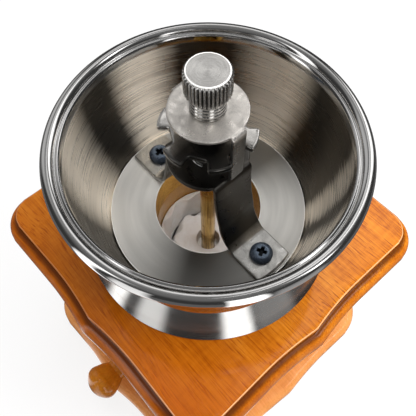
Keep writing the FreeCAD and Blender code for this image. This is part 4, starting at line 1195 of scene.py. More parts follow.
def toothed_tree(finish: Finish) -> NodeTree:
    """Return the tree that cuts twisted teeth or a knurl into a turned mesh by a rule of angle and height.

    Args:
        finish: The mesh's surface.

    Returns:
        The tree. Between Low and High the valleys go from Deep Low to Deep High and turn by Twist. Crest is
        the share of a tooth that falls away, Gain and Shift sharpen it, and Inside, Soft and Outside are the
        radii between which it cuts.
    """
    tree, given = geometry_tree("toothed", {
        "Teeth": 8.0, "Low": 0.0, "High": 10.0, "Deep Low": 1.0, "Deep High": 1.0, "Twist": 0.0, "Crest": 0.5,
        "Gain": 1.0, "Shift": 0.0, "Inside": 0.0, "Soft": 0.1, "Outside": 100.0})
    x, y, z = tree.parts(tree.add("GeometryNodeInputPosition").outputs[0])
    flat = tree.joined(x, y)
    radius = tree.vector("LENGTH", flat)
    up = tree.math("DIVIDE", tree.minus(z, given["Low"]), tree.minus(given["High"], given["Low"]), clamp=True)
    lag = tree.times(given["Twist"], tree.minus(1.0, up))
    angle = tree.minus(tree.math("ARCTAN2", y, x), lag)
    phase = tree.math("FRACT", tree.times(angle, tree.math("DIVIDE", given["Teeth"], math.tau)))
    rising = tree.math("DIVIDE", phase, given["Crest"])
    falling = tree.math("DIVIDE", tree.minus(1.0, phase), tree.minus(1.0, given["Crest"]))
    saw = tree.times(tree.math("MINIMUM", rising, falling), given["Gain"])
    cut = tree.math("SUBTRACT", saw, given["Shift"], clamp=True)
    smooth = tree.add("ShaderNodeMapRange", {"Value": cut}, interpolation_type="SMOOTHSTEP")
    deep = tree.plus(given["Deep Low"], tree.times(tree.minus(given["Deep High"], given["Deep Low"]), up))
    beyond = tree.math("DIVIDE", tree.minus(radius, given["Inside"]), given["Soft"], clamp=True)
    reach = tree.times(beyond, tree.math("LESS_THAN", radius, given["Outside"]),
                       tree.math("GREATER_THAN", z, given["Low"]))
    move = tree.times(deep, smooth.outputs["Result"], reach, -1.0)
    out = tree.vector("NORMALIZE", flat)
    offset = tree.add("ShaderNodeVectorMath", {0: out, "Scale": move}, operation="SCALE")
    moved = tree.add("GeometryNodeSetPosition", {"Geometry": given["Geometry"], "Offset": offset.outputs[0]})
    return finish_tree(tree, moved.outputs[0], finish)


def ring_tree(finish: Finish) -> NodeTree:
    """Return the tree that sets copies of a mesh round the spindle.

    Args:
        finish: The copies' surface.

    Returns:
        The tree. First is the first copy's azimuth; each copy is turned by Turn and a Turn Step more than
        the one before it.
    """
    tree, given = geometry_tree("ring_of", {
        "Count": 6, "Radius": 10.0, "Height": 0.0, "First": 0.0, "Turn": 0.0, "Turn Step": 0.0})
    index = tree.add("GeometryNodeInputIndex").outputs[0]
    step = tree.math("DIVIDE", math.tau, given["Count"])
    angle = tree.plus(tree.times(index, step), given["First"])
    place = tree.joined(tree.times(tree.math("COSINE", angle), given["Radius"]),
                        tree.times(tree.math("SINE", angle), given["Radius"]), given["Height"])
    points = tree.add("GeometryNodePoints", {"Count": given["Count"], "Position": place})
    own = tree.plus(tree.times(index, given["Turn Step"]), given["Turn"])
    copies = tree.add("GeometryNodeInstanceOnPoints", {
        "Points": points.outputs[0], "Instance": given["Geometry"],
        "Rotation": tree.joined(z=tree.plus(angle, own))})
    return finish_tree(tree, copies.outputs[0], finish)


def corners_tree(finish: Finish) -> NodeTree:
    """Return the tree that sets copies of a mesh at the four corners of a rectangle.

    Args:
        finish: The copies' surface.

    Returns:
        The tree; Width and Depth are the rectangle's sides.
    """
    tree, given = geometry_tree("corners_of", {"Width": 10.0, "Depth": 10.0, "Height": 0.0})
    grid = tree.add("GeometryNodeMeshGrid", {
        "Size X": given["Width"], "Size Y": given["Depth"], "Vertices X": 2, "Vertices Y": 2})
    raised = tree.add("GeometryNodeTransform", {
        "Geometry": grid.outputs[0], "Translation": tree.joined(z=given["Height"])})
    copies = tree.add("GeometryNodeInstanceOnPoints", {
        "Points": raised.outputs[0], "Instance": given["Geometry"]})
    return finish_tree(tree, copies.outputs[0], finish)


@dataclass
class CrossScrew:
    """Pan-head wood screw with a cross recess, its head's underside at height 0."""

    shank: float
    length: float
    head: float
    head_height: float
    span: float = 5.0
    slot: float = 1.45
    depth: float = 1.8

    def mesh(self) -> Mesh:
        """Return the screw's mesh with the cross cut into its head."""
        top, r, shank = self.head_height, self.head, self.shank
        solid = Profile(0.0, top).to(r * 0.45, top - 0.02)
        solid.through((r * 0.82, top - top * 0.16), (r, top * 0.42), 8)
        solid.to(r, 0.0).to(shank, 0.0).to(shank, shank * 2 - self.length).to(0.0, -self.length)
        blank = link(bpy.data.objects.new("blank", lathe(solid.closed(0.15), 48)))
        tool = link(bpy.data.objects.new("cutter", merged(self.bar(0.0), self.bar(QUARTER))))
        modifier = blank.modifiers.new("cut", "BOOLEAN")
        modifier.operation = "DIFFERENCE"
        modifier.solver = "EXACT"
        modifier.use_self = True
        modifier.object = tool
        mesh = evaluated(blank)
        for made in (blank, tool):
            bpy.data.objects.remove(made)
        return mesh

    def bar(self, turn: float) -> Mesh:
        """Return one bar of the cross, narrowing downwards.

        Args:
            turn: Its angle about Z.

        Returns:
            A closed mesh.
        """
        bm = bmesh.new()
        bmesh.ops.create_cube(bm, size=1.0)
        for vert in bm.verts:
            high = vert.co.z > 0
            vert.co.x *= self.span * (1.0 if high else 0.42)
            vert.co.y *= self.slot * (1.15 if high else 0.7)
            vert.co.z = self.head_height + 0.6 if high else self.head_height - self.depth
        bmesh.ops.rotate(bm, verts=bm.verts, cent=(0, 0, 0), matrix=Matrix.Rotation(turn, 3, "Z"))
        return mesh_of(bm)


# Sub-assemblies


@dataclass
class BoardEdge:
    """Outline of a board: hollow sides that flare at the corners and swell to a point in the middle."""

    half_x: float
    half_y: float
    corner: float
    bow_x: float
    bow_y: float
    flare: float
    reach: float
    nose: float

    def outline(self) -> list[Pair]:
        """Return the points, counter-clockwise from the +X side."""
        points: list[Pair] = []
        pair = ((self.half_x, self.half_y, self.bow_x), (self.half_y, self.half_x, self.bow_y))
        for side, (out, along, bow) in enumerate(pair * 2):
            points += turned(self.side(out, along, bow) + self.round(out, along), side * QUARTER)
        return points

    def side(self, out: float, along: float, bow: float) -> list[Pair]:
        """Return one side's points, between the rounded corners.

        Args:
            out: Distance of the side from the middle.
            along: Half of its length.
            bow: How far its middle stands out.

        Returns:
            The points, as if the side were the +X side.
        """
        straight = along - self.corner * 0.97
        whole = along + self.flare - self.reach
        marks = [-straight, -(straight + self.reach) / 2] + [self.reach * (k / 16 - 1) for k in range(33)]
        marks += [(straight + self.reach) / 2, straight]
        points = []
        for s in marks:
            near = max(0.0, 1.0 - math.hypot(s, self.nose * bow / self.reach) / self.reach)
            far = max(0.0, abs(s) - self.reach) / whole
            points.append((out + bow * near * near + self.flare * far, s))
        return points

    def round(self, out: float, along: float) -> list[Pair]:
        """Return the points of the corner that follows a side.

        Args:
            out: Distance of the side from the middle.
            along: Half of its length.

        Returns:
            The points, as if the side were the +X side.
        """
        tilt = math.atan(self.flare / (along + self.flare - self.reach))
        lean = math.atan(self.flare / (out + self.flare - self.reach))
        r = self.corner
        x = out + self.flare - r * math.cos(lean) - (r * math.sin(lean) + self.flare * 0.25)
        y = along + self.flare - r * math.cos(tilt) - (r * math.sin(tilt) + self.flare * 0.25)
        first, last = -tilt, QUARTER + lean
        angles = [first + (last - first) * k / 13 for k in range(1, 13)]
        return [(x + r * math.cos(a), y + r * math.sin(a)) for a in angles]


@dataclass
class Boards:
    """Top and base boards: slabs with rounded edges and a shallow point in the middle of each side."""

    top: BoardEdge = field(default_factory=lambda: BoardEdge(
        half_x=66.0, half_y=66.0, corner=14.0, bow_x=2.3, bow_y=2.3, flare=0.8, reach=25.0, nose=10.0))
    base: BoardEdge = field(default_factory=lambda: BoardEdge(
        half_x=70.5, half_y=72.0, corner=22.0, bow_x=1.9, bow_y=3.8, flare=1.2, reach=30.0, nose=14.0))
    top_round: float = 4.6
    bottom_round: float = 3.0
    field_inset: float = 4.9
    field_height: float = 4.6
    field_round: float = 0.9
    field_margin: float = 1.2
    support: float = 6.0
    base_support: float = 4.5
    bore: float = 21.3
    highlight_rows: tuple[int, int] = (3, 4)

    def build(self) -> None:
        """Build both boards."""
        low, high = heights("top_board")
        slab_top = high - self.field_height
        inset, r = self.field_inset, self.field_round
        steps = [(inset + r + self.field_margin, high)]
        steps += upper_round(r, high, quarter(6), inset)
        steps += [(inset, slab_top + 0.5), (inset - 0.06, slab_top + 0.12), (inset - 0.25, slab_top)]
        steps += round_edge(low, slab_top, self.top_round, self.bottom_round)[1:] + [(self.support, low)]
        outline = self.top.outline()
        mesh = ring_slab(outline, steps, self.bore)
        # The field's rounded edge rows carry a painted highlight.
        painted_edge_highlight = mesh.attributes.new("painted_edge_highlight", "FLOAT", "POINT")
        for index, item in enumerate(painted_edge_highlight.data):
            item.value = float(index // len(outline) in self.highlight_rows)
        piece("top_board_dressed", mesh, TOP_LACQUER, Body.MILL, ["top_board"])
        low, high = heights("base_board")
        edge = round_edge(low, high, self.top_round, self.bottom_round)
        mesh = ring_slab(self.base.outline(), [(self.support, high)] + edge + [(self.base_support, low)])
        piece("base_board_dressed", mesh, BASE_LACQUER, Body.MILL, ["base_board"])


@dataclass
class Box:
    """Walls of the box, its wooden hopper block and the screws from below."""

    edge_break: float = 0.6
    guide_break: float = 0.5
    screw_at: Pair = (52.5, 36.0)
    screw_height: float = 3.6

    def build(self) -> None:
        """Build the walls, the block and the hidden fittings."""
        for node in ("left_side", "right_side"):
            dressed(node, self.edge_break, SIDE_LACQUER)
        for node in ("back_panel", "front_panel"):
            dressed(node, self.edge_break, FRONT_LACQUER)
        dressed("drawer_guides", self.guide_break, BARE_ALONG_Y)
        low, high = box_mm("hopper_block")
        ring = Profile(Boards.bore, low.z).to(high.x, low.z).to(high.x, high.z).to(Boards.bore, high.z)
        piece("hopper_block_turned", lathe(ring.closed(0.5), 160), BLOCK_WOOD, Body.MILL, ["hopper_block"])
        length = heights("base_screws")[1] - self.screw_height
        screw = CrossScrew(shank=2.0, length=length, head=4.0, head_height=2.6).mesh()
        screw.transform(Matrix.Rotation(math.pi, 4, "X"))
        screws = baked(corners_tree(BLACK), screw, {
            "Width": self.screw_at[0] * 2, "Depth": self.screw_at[1] * 2, "Height": self.screw_height})
        piece("base_screws_dressed", screws, BLACK, Body.MILL, ["base_screws"], 30.0)


@dataclass
class Drawer:
    """Drawer with its moulded front and turned knob."""

    knob_head: float = 9.4
    knob_neck: float = 5.9
    knob_base: float = 7.6
    knob_height: float = 38.0
    knob_length: float = 24.4
    head_at: float = 17.4
    neck_at: float = 8.6
    cap: float = 7.3
    cap_round: float = 11.0
    edge_break: float = 0.5

    def build(self) -> None:
        """Build the drawer's boards and the knob."""
        dressed("drawer_front", self.edge_break, FRONT_LACQUER, Body.DRAWER)
        for node in ("drawer_left", "drawer_right"):
            dressed(node, self.edge_break, BARE_ALONG_Y, Body.DRAWER)
        for node in ("drawer_back", "drawer_bottom"):
            dressed(node, self.edge_break, BARE_ALONG_X, Body.DRAWER)
        self.knob()
        dressed("knob_screw", 0.15, BLACK, Body.DRAWER)

    def knob(self) -> None:
        """Turn the mushroom knob about Z and lay it along -Y."""
        head, neck, base = self.knob_head, self.knob_neck, self.knob_base
        cap, crown = self.cap, self.knob_length - self.cap_round
        cap_z = crown + math.sqrt(self.cap_round ** 2 - cap ** 2)
        shape = Profile(0.0, 0.0).to(base, 0.0)
        shape.through((neck + (base - neck) * 0.22, self.neck_at * 0.5), (neck, self.neck_at), 14)
        shape.through(((neck + head) * 0.5 - 0.4, self.neck_at + 2.3), (head - 0.7, self.head_at - 2.8), 10)
        shape.through((head - 0.16, self.head_at - 1.4), (head, self.head_at), 6)
        shape.through((head - 0.55, (cap_z + self.head_at) * 0.5 + 0.25), (cap, cap_z), 10)
        half_way = (cap / 2, crown + math.sqrt(self.cap_round ** 2 - cap ** 2 / 4))
        shape.through(half_way, (0.0, self.knob_length), 12)
        mesh = lathe(shape.closed(0.4), 96)
        front = box_mm("drawer_front")[0].y
        mesh.transform(Matrix.Translation((0.0, front, self.knob_height)) @ Matrix.Rotation(QUARTER, 4, "X"))
        piece("drawer_knob_turned", mesh, KNOB_LACQUER, Body.DRAWER, ["drawer_knob"])


@dataclass
class Hopper:
    """Spun bowl, flared foot and satin floor."""

    rim: float = 55.0
    bead: float = 2.35
    bead_rise: float = 41.7
    mouth: float = 48.3
    belly: float = 46.9
    low: float = 43.0
    foot_in: float = 39.1
    flange_in: float = 24.0
    sheet: float = 1.0
    foot: float = 51.1
    foot_lip: float = 1.3
    waist: float = 42.95
    waist_rise: float = 2.3
    cone_width: float = 6.5
    cone_rise: float = 8.3
    hollow: float = 0.35
    floor_hole: float = 21.0
    floor_rim: float = 38.9

    def build(self) -> None:
        """Build the three spun pieces."""
        piece("hopper_bowl_spun", lathe(self.bowl(), 320), SPUN_STEEL, Body.MILL, ["hopper_bowl"])
        piece("hopper_foot_spun", lathe(self.foot_ring(), 320), BRIGHT_STEEL, Body.MILL, ["hopper_foot"])
        low, top = heights("hopper_floor")
        hole, rim = self.floor_hole, self.floor_rim
        disc = Profile(hole, low).to(rim, low).to(rim, top).to(hole, top)
        piece("hopper_floor_turned", lathe(disc.closed(0.45, 5)), SATIN_DISC, Body.MILL, ["hopper_floor"])

    def bowl(self) -> list[Pair]:
        """Return the bowl's section: flange, inner wall, step, rolled bead and outer wall."""
        z, t = floor_height(), self.sheet
        low = z - 1.0
        low_wall, belly = z + 9.0, z + 24.0
        bead_r, bead_x, bead_z = self.bead, self.rim - self.bead, z + self.bead_rise
        mouth_z = bead_z - 2.6
        shape = Profile(self.flange_in, low).to(self.foot_in, low)
        shape.bulge((self.low, low_wall), 0.1).bulge((self.belly, belly), 0.3)
        shape.bulge((self.mouth, mouth_z), 0.32)
        shape.to(self.mouth + 0.35, bead_z + 0.2).to(49.3, bead_z + 0.95).to(50.15, bead_z + 0.55)
        shape.to(bead_x - bead_r * 0.94, bead_z + bead_r * 0.34)
        shape.through((bead_x - bead_r * 0.55, bead_z + bead_r * 0.835), (bead_x, bead_z + bead_r), 10)
        shape.through((self.rim, bead_z), (bead_x, bead_z - bead_r), 20)
        shape.to(self.mouth + t + 0.35, bead_z - bead_r * 0.75).to(self.mouth + t, mouth_z - t)
        shape.bulge((self.belly + t, belly - t * 0.2), -0.32)
        shape.bulge((self.low + t * 0.93, low_wall - t * 0.35), -0.3)
        shape.bulge((self.foot_in + t * 0.9, low - t), -0.1).to(self.flange_in, low - t)
        return shape.closed(0.5, 5)

    def foot_ring(self) -> list[Pair]:
        """Return the section of the flared foot."""
        base = heights("hopper_foot")[0]
        t, r, waist = self.sheet, self.foot, self.waist
        high = floor_height() + self.waist_rise
        skirt = (r - self.foot_lip, base + 1.6)
        cone = (skirt[0] - self.cone_width, skirt[1] + self.cone_rise)
        slant = math.hypot(self.cone_width, self.cone_rise)
        back = (t * self.cone_rise / slant, t * self.cone_width / slant)
        shape = Profile(waist - t, high).to(waist, high).bulge(cone, self.hollow, 16).steps_to(*skirt, 6)
        shape.to(r - 0.35, base + 0.75).to(r, base + 0.4).to(r - 0.2, base)
        shape.to(r - self.foot_lip - t, base).to(skirt[0] - back[0], skirt[1] - back[1])
        shape.to(cone[0] - back[0], cone[1] - back[1]).bulge((waist - t, high), -self.hollow, 16)
        return shape.closed(0.3)


@dataclass
class Bridge:
    """Bent strap over the hole, its screws, bush and spring."""

    strap_edge: float = 0.4
    plate: float = 14.2
    width: float = 16.6
    foot_end: float = 37.8
    screw_at: float = 30.0
    seat: float = 1.6
    wire: float = 0.6
    coil: float = 5.9
    turns: float = 4.25
    coil_start: float = -60.0
    cross_turns: Pair = (14.0, 13.0)
    bush_bore: float = 3.15
    bush_neck: float = 4.6

    def build(self) -> None:
        """Build the strap, its screws, the bush and the spring."""
        piece("bridge_strap", self.strap(), STRAP_NICKEL, Body.MILL, ["bridge"], 50.0)
        screw = CrossScrew(shank=2.1, length=24.0, head=4.4, head_height=2.9)
        screws = baked(ring_tree(BRIDGE_SCREW_BLACK), screw.mesh(), {
            "Count": 2, "Radius": self.screw_at, "Height": floor_height() + self.seat, "First": math.pi,
            "Turn": math.radians(self.cross_turns[0]), "Turn Step": math.radians(self.cross_turns[1])})
        piece("bridge_screws_dressed", screws, BRIDGE_SCREW_BLACK, Body.MILL, ["bridge_screws"], 30.0)
        low, high = box_mm("bridge_bush")
        strap_under = heights("bridge")[1] - self.seat
        bush = Profile(self.bush_bore, low.z).to(high.x, low.z).to(high.x, strap_under)
        bush.to(self.bush_neck, strap_under).to(self.bush_neck, high.z).to(self.bush_bore, high.z)
        piece("bridge_bush_turned", lathe(bush.closed(0.3), 96), TURNED_NICKEL, Body.MILL, ["bridge_bush"])
        low, high = heights("bush_spring")
        coil = baked(coil_tree(SPRING_WIRE), None, {
            "Turns": self.turns, "Radius": self.coil, "Height": high - low - 2 * self.wire, "Wire": self.wire,
            "Bottom": low + self.wire, "Start": math.radians(self.coil_start)})
        piece("bush_spring_wound", coil, SPRING_WIRE, Body.MILL, ["bush_spring"])

    def strap(self) -> Mesh:
        """Return the strap: a round plate and two legs that turn out into feet."""
        z, top = floor_height(), heights("bridge")[1]
        path = Profile(11.1, top).through((12.51, top - 0.59), (13.1, top - 2.0), 5)
        path.through((14.15, z + 24.0), (16.3, z + 13.8), 9).through((18.9, z + 5.9), (22.5, z + 2.1), 9)
        path.through((23.3, z + 1.73), (24.4, z + self.seat), 4).to(self.foot_end, z + self.seat)
        sheet = BentSheet(thick=self.seat, edge=self.strap_edge, path=path.points, round_r=self.plate,
                          width=self.width, end_r=self.foot_end)
        return sheet.mesh(self.bush_neck)


@dataclass
class Spindle:
    """Brass spindle with the adjusting wheel, the lock plate and what drives the burr."""

    wheel: float = 16.3
    lobes: int = 6
    notch_floor: float = 11.9
    notch_half: float = 3.5
    mouth_half: float = 4.2
    lobe_ease: float = 0.16
    turn: float = 2.0
    hub: float = 5.5
    hub_low: float = 4.4
    hub_bore: float = 3.05
    wheel_thick: float = 2.2
    wheel_rise: float = 51.6
    wheel_edge: float = 0.55
    wheel_bore: float = 3.2
    notch_round: float = 1.5
    notch_sag: float = 0.44
    outline_round: float = 1.5
    hub_sunk: float = 0.4
    plate: float = 12.6
    plate_thick: float = 1.2
    plate_edge: float = 0.3
    plate_bore: float = 2.8
    tab_width: float = 5.8
    radius: float = 3.1
    pitch: float = 0.8
    wheel_thread: Pair = (2.95, 2.65)
    nut_thread: Pair = (2.4, 2.1)
    nut_thread_rise: float = 4.0
    tip: float = 1.9

    def build(self) -> None:
        """Build everything that turns with the spindle, except the nut and the burr."""
        self.shaft()
        self.star_wheel()
        piece("lock_plate_bent", self.lock_plate(), PLATE_NICKEL, Body.SPINDLE, ["lock_plate"], 50.0)
        dressed("drive_pin", 0.15, SPRING_WIRE, Body.SPINDLE)
        dressed("burr_washer", 0.2, NICKEL, Body.SPINDLE)
        dressed("burr_nut", 0.3, NICKEL, Body.SPINDLE)

    def shaft(self) -> None:
        """Turn the spindle, with fine thread rings where the wheel and the nut sit."""
        low, high = heights("shaft")
        wheel_low = heights("adjusting_wheel")[0]
        nut_low = heights("lock_plate")[1] + self.nut_thread_rise
        shape = Profile(0.0, low).to(self.radius, low).to(self.radius, wheel_low)
        threads = ((self.wheel_thread, wheel_low, nut_low, self.nut_thread[0]),
                   (self.nut_thread, nut_low, high, self.tip))
        for (crest, root), start, end, next_radius in threads:
            z = start
            while z + self.pitch < end:
                shape.to(crest, z + self.pitch * 0.5).to(root, z + self.pitch)
                z += self.pitch
            shape.to(next_radius, end)
        shape.to(0.0, high)
        piece("shaft_turned", lathe(shape.closed(0.2, 2), 64), BRASS, Body.SPINDLE, ["shaft"])

    def lock_plate(self) -> Mesh:
        """Return the lock plate: a disc with two tabs that run down through notches of the wheel."""
        low, high = heights("lock_plate")
        path = Profile(11.95, high).through((13.08, high - 0.47), (13.55, high - 1.6), 5).to(13.55, low)
        sheet = BentSheet(thick=self.plate_thick, edge=self.plate_edge, path=path.points, round_r=self.plate,
                          width=self.tab_width)
        mesh = sheet.mesh(self.plate_bore)
        mesh.transform(Matrix.Rotation(math.radians(self.turn), 4, "Z"))
        return mesh

    def star_wheel(self) -> None:
        """Cut the wheel's notches and round its lobes, with a hub above and below."""
        low_hub, top_hub = heights("adjusting_wheel")
        top = floor_height() + self.wheel_rise
        bottom = top - self.wheel_thick
        r, half, deep = self.wheel, self.notch_half, self.notch_floor
        mouth = math.asin(self.mouth_half / r)
        pitch = math.tau / self.lobes
        turn, sag = self.notch_round, self.notch_sag
        notch = Profile(r * math.cos(mouth), -r * math.sin(mouth)).to(deep + turn, -half)
        notch.through((deep + sag, -half + sag), (deep, -half + turn), 5).to(deep, half - turn)
        notch.through((deep + sag, half - sag), (deep + turn, half), 5)
        first, last = mouth + self.lobe_ease, pitch - mouth - self.lobe_ease
        arc = [mouth] + [first + (last - first) * k / 12 for k in range(13)]
        local = notch.points + [(r * math.cos(b), r * math.sin(b)) for b in arc]
        outline: list[Pair] = []
        for i in range(self.lobes):
            outline += turned(local, math.radians(self.turn) + pitch * i)
        edge = self.wheel_edge
        steps = [(edge * 2.2, top)] + upper_round(edge, top, (0, 0.4, 0.8, 1.2, QUARTER))
        steps += [(0.0, bottom + 0.4), (0.12, bottom + 0.12), (0.4, bottom), (0.9, bottom)]
        parts = [ring_slab(rounded(outline, self.outline_round, 6, 35.0), steps, self.wheel_bore)]
        for radius, low, high in ((self.hub, top - self.hub_sunk, top_hub),
                                  (self.hub_low, low_hub, bottom + self.hub_sunk)):
            hub = Profile(self.hub_bore, low).to(radius, low).to(radius, high).to(self.hub_bore, high)
            parts.append(lathe(hub.closed(0.3), 64))
        wheel = merged(*parts)
        piece("adjusting_wheel_dressed", wheel, WHEEL_NICKEL, Body.SPINDLE, ["adjusting_wheel"], 35.0)


@dataclass
class ThumbNut:
    """Knurled cap nut with its captive washer."""

    head: float = 7.15
    face: float = 6.35
    neck: float = 5.55
    teeth: int = 36
    knurl: float = 0.5
    neck_length: float = 5.6
    neck_rings: int = 4
    neck_groove: float = 0.35
    taper: float = 1.6
    chamfer: Pair = (0.25, 0.9)
    bore: float = 3.95
    thread: float = 2.45
    thread_rise: float = 6.4
    cap: float = 1.6

    def build(self) -> None:
        """Build the nut and the washer."""
        low, high = heights("thumb_nut")
        head_low = low + self.neck_length
        groove, pitch = self.neck - self.neck_groove, self.neck_length / self.neck_rings
        shape = Profile(self.bore, low).to(groove, low)
        for i in range(self.neck_rings):
            z = low + pitch * i
            shape.to(self.neck, z + pitch * 0.3).to(self.neck, z + pitch * 0.8).to(groove, z + pitch)
        shape.to(self.head, head_low + self.taper).steps_to(self.head, high - self.chamfer[1], 8)
        shape.to(self.face + self.chamfer[0], high - 0.35).to(self.face, high)
        for ring in (0.93, 0.6, 0.3):
            shape.to(self.face * ring, high)
        thread_low, thread_high = low + self.thread_rise, high - self.cap
        shape.to(0.0, high).to(0.0, thread_high).to(self.thread, thread_high).to(self.thread, thread_low)
        shape.to(self.bore, thread_low)
        blank = lathe(shape.closed(0.15, 2), self.teeth * 10)
        mesh = baked(toothed_tree(KNURLED_NICKEL), blank, {
            "Teeth": float(self.teeth), "Low": head_low + 0.2, "High": high, "Deep Low": self.knurl,
            "Deep High": self.knurl, "Gain": 2.0, "Shift": 0.5, "Inside": self.face + 0.1, "Soft": 0.6})
        piece("thumb_nut_turned", mesh, KNURLED_NICKEL, Body.NUT, ["thumb_nut"], 50.0)
        dressed("nut_washer", 0.2, NICKEL, Body.WASHER)


@dataclass
class Burrs:
    """Ceramic cone and ring with coarse twisted teeth."""

    cone_top: float = 15.6
    cone_exit: float = 18.6
    cone_teeth: int = 8
    cone_valley: float = 2.6
    cone_bore: float = 3.15
    cone_rim: float = 1.6
    cone_knee: Pair = (0.62, 0.35)
    recess: float = 5.3
    recess_depth: float = 8.0
    ring_outer: float = 21.0
    ring_mouth: float = 20.3
    ring_throat: float = 18.0
    ring_exit: float = 19.4
    ring_rim: float = 2.2
    ring_knee: float = 0.42
    ring_valleys: Pair = (1.1, 2.0)
    ring_teeth: int = 10
    twist: float = 26.0
    crest: float = 0.62

    def build(self) -> None:
        """Build both burrs."""
        self.cone()
        self.ring()

    def cone(self) -> None:
        """Shape the inner burr: rounded saw teeth that fade towards the wide end."""
        low, high = heights("inner_burr")
        middle = low + (high - low) * self.cone_knee[1]
        middle_r = self.cone_top + (self.cone_exit - self.cone_top) * self.cone_knee[0]
        shape = Profile(self.cone_bore, low).to(self.cone_exit, low).to(self.cone_exit, low + self.cone_rim)
        shape.steps_to(middle_r, middle, 6).steps_to(self.cone_top, high - 0.5, 10)
        shape.to(self.cone_top - 0.5, high).to(self.cone_top - 2.0, high).to(self.recess + 1.4, high)
        shape.to(self.recess, high - 0.4).to(self.recess, high - self.recess_depth)
        shape.to(self.cone_bore, high - self.recess_depth)
        mesh = baked(toothed_tree(CERAMIC), lathe(shape.closed(0.3, 3), 240), {
            "Teeth": float(self.cone_teeth), "Low": middle - 2.0, "High": high,
            "Deep Low": self.cone_valley * 0.4, "Deep High": self.cone_valley, "Crest": self.crest,
            "Twist": math.radians(self.twist), "Inside": self.recess + 2.0, "Soft": 4.0})
        piece("inner_burr_fired", mesh, CERAMIC, Body.SPINDLE, ["inner_burr"], 50.0)

    def ring(self) -> None:
        """Shape the outer burr: a wavy funnel over a smooth cone."""
        low, high = heights("outer_burr")
        middle = low + (high - low) * self.ring_knee
        shape = Profile(self.ring_outer, high).to(self.ring_mouth, high)
        shape.steps_to(self.ring_throat, middle, 10)
        shape.to(self.ring_throat - 0.5, middle - 0.5).to(self.ring_exit, low + self.ring_rim)
        shape.to(self.ring_exit, low)
        shape.to(self.ring_outer, low)
        mesh = baked(toothed_tree(CERAMIC), lathe(shape.closed(0.3, 3), 240), {
            "Teeth": float(self.ring_teeth), "Low": middle, "High": high,
            "Deep Low": self.ring_valleys[0], "Deep High": self.ring_valleys[1],
            "Twist": math.radians(self.twist), "Crest": self.crest, "Inside": 10.0,
            "Outside": self.ring_outer - 0.4})
        piece("outer_burr_fired", mesh, CERAMIC, Body.MILL, ["outer_burr"], 50.0)


@dataclass
class Underside:
    """Housing that holds the outer burr, and the strap with the lower bearing."""

    housing_break: float = 0.2
    strap_break: float = 0.25
    screw_break: float = 0.1

    def build(self) -> None:
        """Build the housing, the strap and their screws."""
        dressed("burr_housing", self.housing_break, ZINC)
        dressed("bearing_strap", self.strap_break, ZINC)
        for node in ("housing_screws", "strap_screws"):
            dressed(node, self.screw_break, BLACK, sharp_above=30.0)


# Studio


@dataclass(frozen=True)
class Softbox:
    """Patch of light that the metal mirrors: an azimuth and a band of heights, in degrees."""

    azimuth: float
    half_width: float
    low: float
    high: float
    strength: float
    soft: float = 4.0

    def shine(self, tree: Tree, flat: Socket, height: object) -> Socket:
        """Return the patch's brightness seen along a direction.

        Args:
            tree: The world's tree.
            flat: The direction laid flat, of length 1.
            height: The sine of its height.

        Returns:
            The brightness, 0 outside the patch.
        """
        edge, core = (math.cos(math.radians(self.half_width + s)) for s in (self.soft, -self.soft / 2))
        across = tree.band(tree.towards(flat, self.azimuth), edge, core)
        low, high = (math.sin(math.radians(v)) for v in (self.low, self.high))
        blur = math.sin(math.radians(self.soft))
        rising = tree.band(height, low - blur, low + blur)
        falling = tree.band(height, high - blur, high + blur, 1.0, 0.0)
        return tree.times(across, self.strength, tree.times(rising, falling))


